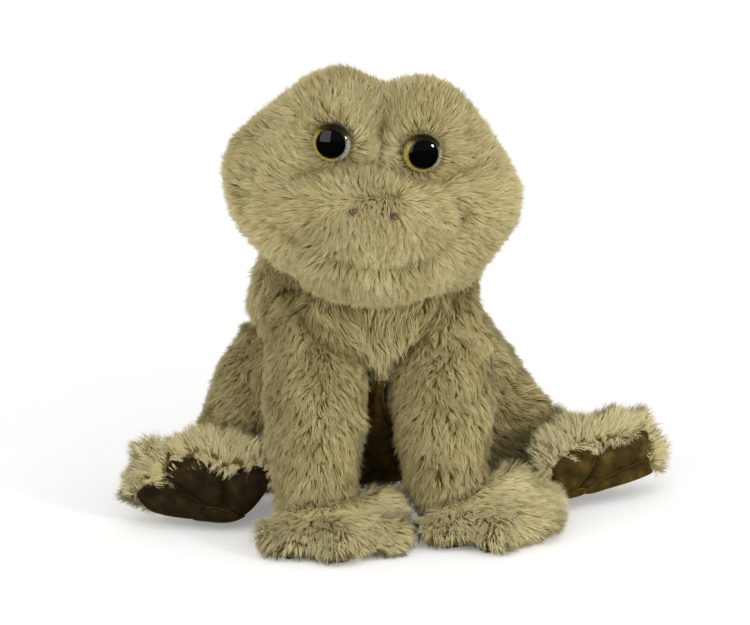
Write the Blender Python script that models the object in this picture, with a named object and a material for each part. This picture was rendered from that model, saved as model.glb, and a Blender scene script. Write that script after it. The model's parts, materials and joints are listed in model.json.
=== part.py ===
"""A seated plush frog with a wide flat head, loose limbs, plastic eyes and velvet soles.

Metres, +Z up. The frog faces -Y, and the origin is the middle of its flat seat on the floor.
Right and left are the frog's own, so its right side is at -X.
Each sewn skin is a shell with its stuffing inside. Limbs turn about X in round sockets, and the head
rides on the round top of the body.
"""

import math

import bmesh
import bpy
import numpy as np
from mathutils import Matrix, Vector

# Cloth, clearances and cuts
PLUSH_WALL = 0.006  # backing cloth with its pile laid down
SEWN_GAP = 0.0004  # two cloths that are sewn edge to edge
STUFFING_GAP = 0.0004  # stuffing behind its skin
TURNING_GAP = 0.0010  # a ball that turns in its round socket
SWING_ROOM = 0.0028  # beside a limb that swings past its neighbour
CUT_OVERRUN = 0.02  # how far a cutter runs past what it cuts

# Body: a seat lobe and a round chest that the head rides on
SEAT_HALF_WIDTH = 0.058
SEAT_HALF_DEPTH = 0.056
SEAT_HALF_HEIGHT = 0.050
SEAT_CENTRE_HEIGHT = 0.046
SEAT_SETBACK = 0.014
CHEST_RADIUS = 0.057
CHEST_HEIGHT = 0.100
CHEST_FORWARD = 0.002
BODY_BLEND = 0.016
NECK_RADIUS = 0.018
NECK_NOD_ROOM = 0.009
NECK_LEAN_DEGREES = 22.0
BELLY_PANEL_WIDTH = 0.044
BELLY_PANEL_LOW = 0.008
BELLY_PANEL_HIGH = 0.072
PELLET_BAG_HALF_WIDTH = 0.027
PELLET_BAG_HALF_DEPTH = 0.028
PELLET_BAG_HALF_HEIGHT = 0.018
PELLET_BAG_CENTRE_HEIGHT = 0.021

# Head
HEAD_HALF_WIDTH = 0.076
HEAD_HALF_DEPTH = 0.052
HEAD_HALF_HEIGHT = 0.061
HEAD_ASIDE = -0.002
HEAD_FORWARD = 0.030
HEAD_HEIGHT = 0.172
HEAD_TURN_DEGREES = -12.5
HEAD_ROLL_DEGREES = 6.5
HEAD_BLEND = 0.010
# Each row: centre across, back and up, then half width, half depth and half height, as shares of the head's
HEAD_LOBE_SHARES = (
    (0.0, 0.06, -0.08, 0.97, 0.96, 0.88),
    (0.0, -0.56, -0.24, 0.70, 0.66, 0.70),
    (0.56, -0.10, -0.14, 0.45, 0.78, 0.66),
    (-0.56, -0.10, -0.14, 0.45, 0.78, 0.66),
    (0.33, -0.24, 0.56, 0.33, 0.56, 0.44),
    (-0.33, -0.24, 0.56, 0.33, 0.56, 0.44),
)

# Eyes and nostrils
EYE_SPACING = 0.0455
EYES_ASIDE = -0.0062
EYE_ABOVE_HEAD_CENTRE = 0.0282
EYE_RADIUS = 0.0098
EYE_PROUD = 0.0012
EYE_BACK_THICKNESS = 0.0026
EYE_DOME_HEIGHT = 0.0058
EYE_OUTWARD_DEGREES = 9.0
EYE_POST_RADIUS = 0.0022
EYE_POST_LENGTH = 0.0120
WASHER_RADIUS = 0.0070
WASHER_THICKNESS = 0.0016
WASHER_SETBACK = 0.0070
NOSTRIL_SPACING = 0.0204
NOSTRIL_ABOVE_HEAD_CENTRE = -0.001
NOSTRIL_HALF_WIDTH = 0.0034
NOSTRIL_HALF_HEIGHT = 0.0022
NOSTRIL_HALF_DEPTH = 0.0020

# Arms
SHOULDER_OUT = 0.033
SHOULDER_FORWARD = 0.028
SHOULDER_HEIGHT = 0.092
SHOULDER_RADIUS = 0.0270
SLEEVE_HALF_LENGTH = 0.060
SLEEVE_CENTRE_SHARE = 0.43  # of the way from the shoulder to the wrist
SLEEVE_RADIUS = 0.0272
WRIST_OUT = {"right": 0.042, "left": 0.025}
WRIST_FORWARD = 0.072
WRIST_HEIGHT = 0.0255
WRIST_RADIUS = 0.0205
ARM_BLEND = 0.002
ARM_MIDDLE_GAP = 0.003
ARM_OPENING_RADIUS = 0.011
ARM_LIFT_DEGREES = 30.0  # how far an arm swings up and forwards

# Hands
HAND_HALF_WIDTH = 0.039
HAND_HALF_LENGTH = 0.041
HAND_HALF_HEIGHT = 0.018
HAND_OUT = {"right": 0.0400, "left": 0.0405}
HAND_FORWARD = 0.089
HAND_CENTRE_HEIGHT = 0.0095
HAND_BLEND = 0.006
HAND_MIDDLE_GAP = 0.0030
HAND_OPENING_RADIUS = 0.006
PALM_THICKNESS = 0.0042
# Each row: centre across, back and up, half width, half depth and half height as shares, and its turn in degrees
HAND_LOBE_SHARES = (
    (0.0, 0.20, 0.0, 0.66, 0.62, 1.0, 0.0),
    (0.0, -0.36, -0.20, 0.33, 0.64, 0.80, 0.0),
    (0.40, -0.16, -0.20, 0.33, 0.66, 0.78, 56.0),
    (-0.40, -0.16, -0.20, 0.33, 0.66, 0.78, -56.0),
)

# Hind legs
HIP_OUT = 0.047
HIP_BACK = 0.023
HIP_HEIGHT = 0.046
HAUNCH_RADIUS = 0.042
HIP_FACE_OUT = 0.037
LEG_HALF_LENGTH_SHARE = 0.70
LEG_CENTRE_SHARE = 0.56
LEG_RADIUS = 0.0245
LEG_BLEND = 0.006
LEG_OPENING_RADIUS = 0.014
ANKLE_OUT = {"right": 0.082, "left": 0.096}
ANKLE_FORWARD = 0.016
ANKLE_HEIGHT = 0.0265
ANKLE_RADIUS = 0.0190

# Hind feet: each stands on its edge with its velvet sole to the front
FOOT_HALF_LENGTH = 0.042
FOOT_HALF_THICKNESS = 0.0135
FOOT_HALF_HEIGHT = 0.028
FOOT_OUT = {"right": 0.097, "left": 0.113}
FOOT_FORWARD = 0.035
FOOT_CENTRE_HEIGHT = 0.0200
FOOT_TURN_DEGREES = 14.0
FOOT_LEAN_DEGREES = 24.0
FOOT_BLEND = 0.0035
FOOT_OPENING_RADIUS = 0.005
SOLE_DEPTH = 0.0075  # how deep the velvet reaches back from the front of the toes
# Each row: centre out, front and up, half length, half thickness and half width as shares, and its turn in degrees
FOOT_LOBE_SHARES = (
    (-0.30, 0.0, -0.14, 0.54, 1.0, 0.66, 0.0),
    (-0.32, -0.10, 0.26, 0.54, 0.88, 0.46, 82.0),
    (0.24, -0.10, 0.20, 0.74, 0.88, 0.46, 36.0),
    (0.38, -0.10, -0.36, 0.62, 0.84, 0.42, 3.0),
)

# Facets
FINE_SEGMENTS = 26
FINE_RINGS = 18
LIMB_SEGMENTS = 18
LIMB_RINGS = 13
INNER_SEGMENTS = 12
INNER_RINGS = 8
NECK_SIDES = 36
SOCKET_SIDES = 24
INNER_SIDES = 14
EYE_SIDES = 28

# Colours in linear light
OLIVE_PLUSH = (0.325, 0.274, 0.123, 1.0)
DARK_VELVET = (0.022, 0.015, 0.006, 1.0)
WHITE_FILLING = (0.80, 0.79, 0.75, 1.0)
BAG_COTTON = (0.62, 0.58, 0.50, 1.0)
BLACK_PLASTIC = (0.006, 0.006, 0.006, 1.0)
CLEAR_PLASTIC = (0.85, 0.80, 0.62, 1.0)
WHITE_PLASTIC = (0.70, 0.70, 0.68, 1.0)
BROWN_THREAD = (0.095, 0.042, 0.022, 1.0)

SIDES = {"right": -1.0, "left": 1.0}
NECK_PIVOT = Vector((0.0, -CHEST_FORWARD, CHEST_HEIGHT))
NECK_LINE = Matrix.Rotation(math.radians(NECK_LEAN_DEGREES), 3, "X") @ Vector((0.0, 0.0, 1.0))


class Form:
    """A padded form: ellipsoid lobes joined smoothly, measured outwards from one centre."""

    def __init__(self, centre, axes, half_sizes, lobes, blend, pole):
        self.centre = np.array(centre)
        self.axes = np.array(axes)
        self.half_sizes = np.array(half_sizes)
        self.lobes = lobes
        self.blend = blend
        self.pole = pole

    def reach(self, directions, shrink):
        """How far the surface lies along each local direction, with the lobes drawn in by shrink."""
        far = np.zeros(len(directions))
        for middle, radii, turn in self.lobes:
            turned = directions @ turn
            inner = np.array(middle) @ turn
            sizes = np.array(radii) - shrink
            a = ((turned / sizes) ** 2).sum(axis=1)
            b = (turned * inner / sizes**2).sum(axis=1)
            c = ((inner / sizes) ** 2).sum() - 1
            root = b**2 - a * c
            hit = (b + np.sqrt(np.maximum(root, 0))) / a
            hit = np.where(root > 0, np.maximum(hit, 0), 0)
            near = np.maximum(self.blend - np.abs(far - hit), 0)
            far = np.maximum(far, hit) + near**2 / (4 * self.blend) * (far > 0)
        return far

    def grid(self, segments, rings, shrink):
        """World points and faces of the whole surface, as rings between two poles."""
        units = [(0.0, 0.0, 1.0)]
        for ring in range(1, rings):
            fall = math.pi * ring / rings
            for step in range(segments):
                turn = 2 * math.pi * step / segments
                units.append((math.sin(fall) * math.cos(turn), math.sin(fall) * math.sin(turn), math.cos(fall)))
        units.append((0.0, 0.0, -1.0))
        order = {"x": (2, 0, 1), "y": (1, 2, 0), "z": (0, 1, 2)}[self.pole]
        directions = np.array(units)[:, order] * self.half_sizes
        directions /= np.linalg.norm(directions, axis=1)[:, None]
        local = directions * self.reach(directions, shrink)[:, None]
        last = len(units) - 1
        faces = []
        for step in range(segments):
            after = (step + 1) % segments
            faces.append((0, 1 + step, 1 + after))
            faces.append((last, last - segments + after, last - segments + step))
        for ring in range(rings - 2):
            start = 1 + ring * segments
            for step in range(segments):
                after = (step + 1) % segments
                faces.append((start + step, start + segments + step, start + segments + after))
                faces.append((start + step, start + segments + after, start + after))
        return local @ self.axes.T + self.centre, faces

    def front_point(self, across, up):
        """The local point of the front surface at this place across and up from the centre."""
        low = 0.0
        high = 2 * self.half_sizes.max()
        while high - low > self.half_sizes.max() * np.finfo(np.float32).eps:
            middle = (low + high) / 2
            point = np.array((across, -middle, up))
            distance = np.linalg.norm(point)
            if self.reach((point / distance)[None], 0.0)[0] > distance:
                low = middle
            else:
                high = middle
        return np.array((across, -low, up))

    def world(self, local):
        return Vector(self.axes @ np.array(local) + self.centre)


def lobes_of(shares, half_sizes, turn_axis):
    """Lobes in metres from rows of shares. A seventh number turns the lobe about the turn axis."""
    lobes = []
    for row in shares:
        middle = [share * size for share, size in zip(row[:3], half_sizes)]
        radii = [share * size for share, size in zip(row[3:6], half_sizes)]
        turn = Matrix.Rotation(math.radians(row[6]) if len(row) > 6 else 0.0, 3, turn_axis)
        lobes.append((middle, radii, np.array(turn)))
    return lobes


def axes_along(start, end):
    """Local axes whose X runs from start to end, with Z as near upright as it can be."""
    along = (end - start).normalized()
    aside = Vector((0.0, 0.0, 1.0)).cross(along).normalized()
    return np.array(Matrix((along, aside, along.cross(aside))).transposed())


def new_object(name, mesh, origin):
    thing = bpy.data.objects.new(name, mesh)
    thing.location = origin
    bpy.context.scene.collection.objects.link(thing)
    return thing


def mesh_from(name, points, faces, origin):
    mesh = bpy.data.meshes.new(name)
    mesh.from_pydata([tuple(Vector(p) - origin) for p in points], [], faces)
    working = bmesh.new()
    working.from_mesh(mesh)
    bmesh.ops.recalc_face_normals(working, faces=working.faces)
    working.to_mesh(mesh)
    working.free()
    return mesh


def finish(thing, colour, roughness, coat=0.0):
    """Gives the piece its own material and smooth shading."""
    material = bpy.data.materials.new(thing.name + "_finish")
    material.use_nodes = True
    shader = material.node_tree.nodes["Principled BSDF"]
    shader.inputs["Base Color"].default_value = colour
    shader.inputs["Roughness"].default_value = roughness
    shader.inputs["Metallic"].default_value = 0.0
    shader.inputs["Coat Weight"].default_value = coat
    thing.data.materials.append(material)
    thing.data.shade_smooth()
    return thing


def hide(thing):
    """Marks a cutter, which is no part of the frog."""
    thing.hide_render = True
    thing.display_type = "WIRE"
    return thing


def form_piece(name, form, origin, segments, rings, shrink=0.0):
    points, faces = form.grid(segments, rings, shrink)
    return new_object(name, mesh_from(name, points, faces, origin), origin)


def form_cutter(name, form, grow, segments=LIMB_SEGMENTS, rings=LIMB_RINGS):
    return hide(form_piece(name, form, Vector(form.centre), segments, rings, -grow))


def ball_cutter(name, centre, radius, sides=SOCKET_SIDES):
    mesh = bpy.data.meshes.new(name)
    working = bmesh.new()
    bmesh.ops.create_uvsphere(working, u_segments=sides, v_segments=sides // 2, radius=radius)
    bmesh.ops.rotate(working, verts=working.verts, matrix=Matrix.Rotation(math.pi / 2, 3, "Y"))
    working.to_mesh(mesh)
    working.free()
    return hide(new_object(name, mesh, centre))


def rod_mesh(name, radius, length, sides=SOCKET_SIDES):
    """A rod along +Z whose foot is at the origin."""
    mesh = bpy.data.meshes.new(name)
    working = bmesh.new()
    bmesh.ops.create_cone(
        working, cap_ends=True, segments=sides, radius1=radius, radius2=radius, depth=length
    )
    bmesh.ops.translate(working, verts=working.verts, vec=(0.0, 0.0, length / 2))
    working.to_mesh(mesh)
    working.free()
    return mesh


def rod(name, start, direction, radius, length, sides=SOCKET_SIDES):
    thing = new_object(name, rod_mesh(name, radius, length, sides), start)
    thing.rotation_euler = Vector(direction).to_track_quat("Z", "Y").to_euler()
    return thing


def box_cutter(name, low, high, axes=None, origin=None):
    """A box from its low to its high corner, in world axes or in the given axes about an origin."""
    mesh = bpy.data.meshes.new(name)
    working = bmesh.new()
    bmesh.ops.create_cube(working, size=1.0)
    size = Vector(high) - Vector(low)
    bmesh.ops.scale(working, verts=working.verts, vec=size)
    bmesh.ops.translate(working, verts=working.verts, vec=Vector(low) + size / 2)
    working.to_mesh(mesh)
    working.free()
    thing = hide(new_object(name, mesh, origin or Vector()))
    if axes is not None:
        thing.rotation_euler = Matrix(axes).to_euler()
    return thing


def cut(piece, *cutters, operation="DIFFERENCE", solver="EXACT"):
    for cutter in cutters:
        modifier = piece.modifiers.new(cutter.name, "BOOLEAN")
        modifier.operation = operation
        modifier.solver = solver
        modifier.object = cutter
    return piece


def cut_closed(piece, *cutters, operation="DIFFERENCE"):
    """For the body, where many sockets meet and the exact solver leaves open edges."""
    return cut(piece, *cutters, operation=operation, solver="MANIFOLD")


def mirrored(side, out, forward, height):
    """A point on the frog's right or left, forward of the origin and above the floor."""
    return Vector((SIDES[side] * out, -forward, height))


def floor_cutter(name, height):
    """Everything under this height."""
    reach = HEAD_HALF_WIDTH * 4
    return box_cutter(name, (-reach, -reach, -reach), (reach, reach, height))


def body_form():
    centre = Vector((0.0, SEAT_SETBACK / 2, (SEAT_CENTRE_HEIGHT + CHEST_HEIGHT) / 2))
    seat = Vector((0.0, SEAT_SETBACK, SEAT_CENTRE_HEIGHT)) - centre
    chest = NECK_PIVOT - centre
    level = np.eye(3)
    lobes = [
        (chest, (CHEST_RADIUS, CHEST_RADIUS, CHEST_RADIUS), level),
        (seat, (SEAT_HALF_WIDTH, SEAT_HALF_DEPTH, SEAT_HALF_HEIGHT), level),
    ]
    half_height = (SEAT_HALF_HEIGHT + CHEST_RADIUS + CHEST_HEIGHT - SEAT_CENTRE_HEIGHT) / 2
    return Form(centre, level, (SEAT_HALF_WIDTH, SEAT_HALF_DEPTH, half_height), lobes, BODY_BLEND, "z")


def head_form():
    centre = Vector((HEAD_ASIDE, -HEAD_FORWARD, HEAD_HEIGHT))
    turn = Matrix.Rotation(math.radians(HEAD_TURN_DEGREES), 3, "Z")
    roll = Matrix.Rotation(math.radians(HEAD_ROLL_DEGREES), 3, "Y")
    half_sizes = (HEAD_HALF_WIDTH, HEAD_HALF_DEPTH, HEAD_HALF_HEIGHT)
    lobes = lobes_of(HEAD_LOBE_SHARES, half_sizes, "Y")
    return Form(centre, turn @ roll, half_sizes, lobes, HEAD_BLEND, "z")


def shoulder_of(side):
    return mirrored(side, SHOULDER_OUT, SHOULDER_FORWARD, SHOULDER_HEIGHT)


def wrist_of(side):
    return mirrored(side, WRIST_OUT[side], WRIST_FORWARD, WRIST_HEIGHT)


def hip_of(side):
    return mirrored(side, HIP_OUT, -HIP_BACK, HIP_HEIGHT)


def ankle_of(side):
    return mirrored(side, ANKLE_OUT[side], ANKLE_FORWARD, ANKLE_HEIGHT)


def sleeve_form(side, lift_degrees=0.0):
    """The long middle of the arm, without its two balls, at rest or lifted."""
    shoulder = shoulder_of(side)
    lift = Matrix.Rotation(-math.radians(lift_degrees), 3, "X")
    wrist = shoulder + lift @ (wrist_of(side) - shoulder)
    half_sizes = (SLEEVE_HALF_LENGTH, SLEEVE_RADIUS, SLEEVE_RADIUS)
    lobes = [((0.0, 0.0, 0.0), half_sizes, np.eye(3))]
    centre = shoulder.lerp(wrist, SLEEVE_CENTRE_SHARE)
    return Form(centre, axes_along(shoulder, wrist), half_sizes, lobes, ARM_BLEND, "x")


def arm_form(side):
    form = sleeve_form(side)
    length = (wrist_of(side) - shoulder_of(side)).length
    above = length * SLEEVE_CENTRE_SHARE
    level = np.eye(3)
    form.lobes.append(((-above, 0.0, 0.0), (SHOULDER_RADIUS, SHOULDER_RADIUS, SHOULDER_RADIUS), level))
    form.lobes.append(((length - above, 0.0, 0.0), (WRIST_RADIUS, WRIST_RADIUS, WRIST_RADIUS), level))
    return form


def hand_form(side):
    centre = mirrored(side, HAND_OUT[side], HAND_FORWARD, HAND_CENTRE_HEIGHT)
    half_sizes = (HAND_HALF_WIDTH, HAND_HALF_LENGTH, HAND_HALF_HEIGHT)
    lobes = lobes_of(HAND_LOBE_SHARES, half_sizes, "Z")
    return Form(centre, np.eye(3), half_sizes, lobes, HAND_BLEND, "z")


def shin_form(side):
    """The tapering end of the leg, without its haunch."""
    hip = hip_of(side)
    ankle = ankle_of(side)
    length = (ankle - hip).length
    half_sizes = (length * LEG_HALF_LENGTH_SHARE, LEG_RADIUS, LEG_RADIUS)
    centre = hip.lerp(ankle, LEG_CENTRE_SHARE)
    return Form(centre, axes_along(hip, ankle), half_sizes, [(Vector(), half_sizes, np.eye(3))], LEG_BLEND, "x")


def leg_form(side):
    hip = hip_of(side)
    shin = shin_form(side)
    length = (ankle_of(side) - hip).length
    level = np.eye(3)
    lobes = [
        ((0.0, 0.0, 0.0), (HAUNCH_RADIUS, HAUNCH_RADIUS, HAUNCH_RADIUS), level),
        ((length * LEG_CENTRE_SHARE, 0.0, 0.0), shin.half_sizes, level),
        ((length, 0.0, 0.0), (ANKLE_RADIUS, ANKLE_RADIUS, ANKLE_RADIUS), level),
    ]
    half_sizes = (length, HAUNCH_RADIUS, HAUNCH_RADIUS)
    return Form(hip, shin.axes, half_sizes, lobes, LEG_BLEND, "x")


def foot_form(side):
    """Local X runs out along the foot, Y to its back and Z up, leaning back."""
    centre = mirrored(side, FOOT_OUT[side], FOOT_FORWARD, FOOT_CENTRE_HEIGHT)
    turn = Matrix.Rotation(SIDES[side] * math.radians(FOOT_TURN_DEGREES), 3, "Z")
    lean = Matrix.Rotation(-math.radians(FOOT_LEAN_DEGREES), 3, "X")
    half_sizes = (FOOT_HALF_LENGTH, FOOT_HALF_THICKNESS, FOOT_HALF_HEIGHT)
    lobes = []
    for middle, radii, angle in lobes_of(FOOT_LOBE_SHARES, half_sizes, "Y"):
        if SIDES[side] > 0:
            lobes.append((middle, radii, angle.T))
        else:
            lobes.append(((-middle[0], middle[1], middle[2]), radii, angle))
    return Form(centre, turn @ lean, half_sizes, lobes, FOOT_BLEND, "y")


def arm_room(label, side, grow, sides=SOCKET_SIDES):
    """Cutters for the shoulder's ball and for the sleeve under it, at rest and lifted."""
    sleeve = sleeve_form(side)
    lifted = sleeve_form(side, ARM_LIFT_DEGREES)
    return [
        ball_cutter(f"cutter_{label}_shoulder_{side}", shoulder_of(side), SHOULDER_RADIUS + grow, sides),
        form_cutter(f"cutter_{label}_sleeve_{side}", sleeve, SWING_ROOM + grow, sides, sides // 2),
        form_cutter(f"cutter_{label}_lifted_{side}", lifted, SWING_ROOM + grow, sides, sides // 2),
    ]


def make_body():
    form = body_form()
    origin = Vector()
    hip_reach = HAUNCH_RADIUS + SEAT_HALF_WIDTH

    def hip_rods(label, grow):
        rods = []
        for side in SIDES:
            out = Vector((SIDES[side], 0.0, 0.0))
            start = hip_of(side) + out * (HIP_FACE_OUT - grow - HIP_OUT)
            name = f"cutter_{label}_hip_{side}"
            rods.append(hide(rod(name, start, out, HAUNCH_RADIUS + grow, hip_reach)))
        return rods

    def arm_rooms(label, grow, sides=INNER_SIDES):
        return arm_room(label, "right", grow, sides) + arm_room(label, "left", grow, sides)

    skin = form_piece("body_skin", form, origin, FINE_SEGMENTS, FINE_RINGS)
    cut_closed(skin, floor_cutter("cutter_body_floor", 0.0))
    cut_closed(skin, *arm_rooms("body", TURNING_GAP, SOCKET_SIDES), *hip_rods("body", TURNING_GAP))

    hollow = form_cutter("cutter_body_hollow", form, -PLUSH_WALL, INNER_SEGMENTS, INNER_RINGS)
    cut_closed(hollow, floor_cutter("cutter_hollow_floor", PLUSH_WALL))
    walled = TURNING_GAP + PLUSH_WALL
    cut_closed(hollow, *arm_rooms("hollow", walled), *hip_rods("hollow", walled))
    cut_closed(skin, hollow)
    neck_hole = NECK_RADIUS + TURNING_GAP
    top_reach = CHEST_RADIUS + CUT_OVERRUN
    cut_closed(skin, hide(rod("cutter_body_neck", NECK_PIVOT, NECK_LINE, neck_hole, top_reach)))

    half = BELLY_PANEL_WIDTH / 2
    reach = CHEST_RADIUS + CUT_OVERRUN
    panel = form_piece("belly_panel", form, origin, FINE_SEGMENTS, FINE_RINGS)
    window = box_cutter(
        "cutter_belly_window",
        (-half - SEWN_GAP, -reach, BELLY_PANEL_LOW - SEWN_GAP),
        (half + SEWN_GAP, -SEAT_SETBACK, BELLY_PANEL_HIGH + SEWN_GAP),
    )
    panel_box = box_cutter(
        "cutter_belly_panel",
        (-half, -reach, BELLY_PANEL_LOW),
        (half, -SEAT_SETBACK, BELLY_PANEL_HIGH),
    )
    cut_closed(skin, window)
    cut_closed(panel, panel_box, operation="INTERSECT")
    cut_closed(panel, *arm_rooms("panel", TURNING_GAP, SOCKET_SIDES), hollow)

    stuffing = form_piece("body_stuffing", form, origin, INNER_SEGMENTS, INNER_RINGS, PLUSH_WALL + STUFFING_GAP)
    cut_closed(stuffing, floor_cutter("cutter_stuffing_floor", PLUSH_WALL + STUFFING_GAP))
    padded = walled + STUFFING_GAP
    cut_closed(stuffing, *arm_rooms("stuffing", padded), *hip_rods("stuffing", padded))
    bag_floor = PLUSH_WALL + STUFFING_GAP
    bag_centre = Vector((0.0, SEAT_SETBACK, PELLET_BAG_CENTRE_HEIGHT))
    bag_sizes = (PELLET_BAG_HALF_WIDTH, PELLET_BAG_HALF_DEPTH, PELLET_BAG_HALF_HEIGHT)
    bag_form = Form(bag_centre, np.eye(3), bag_sizes, [(Vector(), bag_sizes, np.eye(3))], BODY_BLEND, "z")
    bag = form_piece("pellet_bag", bag_form, origin, INNER_SEGMENTS, INNER_RINGS)
    cut_closed(bag, floor_cutter("cutter_bag_floor", bag_floor))
    room = form_cutter("cutter_bag_room", bag_form, STUFFING_GAP, INNER_SEGMENTS, INNER_RINGS)
    cut_closed(stuffing, room)

    finish(skin, OLIVE_PLUSH, 0.95)
    finish(panel, DARK_VELVET, 0.85)
    finish(stuffing, WHITE_FILLING, 1.0)
    finish(bag, BAG_COTTON, 0.9)


def make_neck():
    """A round plug of stuffing between the body's and the head's neck openings."""
    base = CHEST_RADIUS - PLUSH_WALL
    top = CHEST_RADIUS + TURNING_GAP + PLUSH_WALL
    plug = rod("neck_stuffing", NECK_PIVOT, NECK_LINE, NECK_RADIUS, top + CUT_OVERRUN, EYE_SIDES)
    cut(plug, ball_cutter("cutter_neck_base", NECK_PIVOT, base, NECK_SIDES))
    cut(plug, ball_cutter("cutter_neck_top", NECK_PIVOT, top, NECK_SIDES), operation="INTERSECT")
    finish(plug, WHITE_FILLING, 1.0)


def make_eye(side, form):
    """A clear dome on a black back with a post, and the lock washer inside the head."""
    half = SIDES[side] * EYE_SPACING / 2 + EYES_ASIDE
    spot = form.world(form.front_point(half, EYE_ABOVE_HEAD_CENTRE))
    outward = Matrix.Rotation(SIDES[side] * math.radians(EYE_OUTWARD_DEGREES), 3, "Z")
    facing = Matrix(form.axes) @ outward @ Vector((0.0, -1.0, 0.0))
    face = spot + facing * EYE_PROUD

    back_name = f"eye_back_{side}"
    disc = rod(back_name, face - facing * EYE_BACK_THICKNESS, facing, EYE_RADIUS, EYE_BACK_THICKNESS, EYE_SIDES)
    post = rod(
        f"cutter_post_{side}",
        face - facing * EYE_POST_LENGTH,
        facing,
        EYE_POST_RADIUS,
        EYE_POST_LENGTH - EYE_BACK_THICKNESS / 2,
        EYE_SIDES,
    )
    cut(disc, hide(post), operation="UNION")

    # The dome is the top of a ball whose foot circle is as wide as the back
    dome_radius = EYE_RADIUS - SEWN_GAP
    ball_radius = (dome_radius**2 + EYE_DOME_HEIGHT**2) / (2 * EYE_DOME_HEIGHT)
    foot = face + facing * SEWN_GAP
    lens = rod(f"eye_lens_{side}", foot, facing, dome_radius + SEWN_GAP, EYE_DOME_HEIGHT * 2, EYE_SIDES)
    ball_centre = foot - facing * (ball_radius - EYE_DOME_HEIGHT)
    cut(lens, ball_cutter(f"cutter_dome_{side}", ball_centre, ball_radius), operation="INTERSECT")

    washer_foot = face - facing * (WASHER_SETBACK + WASHER_THICKNESS)
    washer = rod(f"eye_washer_{side}", washer_foot, facing, WASHER_RADIUS, WASHER_THICKNESS, EYE_SIDES)
    hole_radius = EYE_POST_RADIUS + SEWN_GAP
    hole_foot = face - facing * (EYE_POST_LENGTH + CUT_OVERRUN)
    hole_length = EYE_POST_LENGTH + 2 * CUT_OVERRUN
    hole = hide(rod(f"cutter_post_hole_{side}", hole_foot, facing, hole_radius, hole_length, EYE_SIDES))
    cut(washer, hole)

    pocket_foot = face - facing * (EYE_BACK_THICKNESS + SEWN_GAP)
    pocket = hide(rod(f"cutter_eye_{side}", pocket_foot, facing, EYE_RADIUS + SEWN_GAP, CUT_OVERRUN, EYE_SIDES))
    deep_foot = face - facing * (EYE_POST_LENGTH + SEWN_GAP)
    deep_length = EYE_POST_LENGTH - WASHER_SETBACK + 2 * SEWN_GAP
    deep = hide(rod(f"cutter_washer_{side}", deep_foot, facing, WASHER_RADIUS + SEWN_GAP, deep_length, EYE_SIDES))
    finish(disc, BLACK_PLASTIC, 0.25, 0.5)
    finish(lens, CLEAR_PLASTIC, 0.05, 1.0)
    finish(washer, WHITE_PLASTIC, 0.5)
    return pocket, hole, deep


def make_nostril(side, form):
    """A small pad of satin stitches, let into the muzzle."""
    half = SIDES[side] * NOSTRIL_SPACING / 2
    spot = form.world(form.front_point(half, NOSTRIL_ABOVE_HEAD_CENTRE))
    sizes = (NOSTRIL_HALF_WIDTH, NOSTRIL_HALF_DEPTH, NOSTRIL_HALF_HEIGHT)
    stitch_form = Form(spot, form.axes, sizes, [(Vector(), sizes, np.eye(3))], HEAD_BLEND, "y")
    stitch = form_piece(f"nostril_{side}", stitch_form, Vector(spot), INNER_SEGMENTS, INNER_RINGS)
    finish(stitch, BROWN_THREAD, 0.8)
    return form_cutter(f"cutter_nostril_{side}", stitch_form, SEWN_GAP, INNER_SEGMENTS, INNER_RINGS)


def make_head():
    form = head_form()
    socket = CHEST_RADIUS + TURNING_GAP
    skin = form_piece("head_skin", form, NECK_PIVOT, FINE_SEGMENTS, FINE_RINGS)
    cut(skin, ball_cutter("cutter_head_socket", NECK_PIVOT, socket, NECK_SIDES))
    hollow = form_cutter("cutter_head_hollow", form, -PLUSH_WALL, INNER_SEGMENTS, INNER_RINGS)
    cut(hollow, ball_cutter("cutter_hollow_socket", NECK_PIVOT, socket + PLUSH_WALL, NECK_SIDES))
    cut(skin, hollow)
    opening = NECK_RADIUS + NECK_NOD_ROOM
    top_reach = CHEST_RADIUS + CUT_OVERRUN
    cut(skin, hide(rod("cutter_head_opening", NECK_PIVOT, NECK_LINE, opening, top_reach)))

    stuffing = form_piece("head_stuffing", form, NECK_PIVOT, INNER_SEGMENTS, INNER_RINGS, PLUSH_WALL + STUFFING_GAP)
    inner_socket = socket + PLUSH_WALL + STUFFING_GAP
    cut(stuffing, ball_cutter("cutter_stuffing_socket", NECK_PIVOT, inner_socket, NECK_SIDES))

    for side in SIDES:
        pocket, hole, deep = make_eye(side, form)
        cut(skin, pocket, hole, deep)
        cut(stuffing, hole, deep)
        cut(skin, make_nostril(side, form))
    finish(skin, OLIVE_PLUSH, 0.95)
    finish(stuffing, WHITE_FILLING, 1.0)


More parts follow.
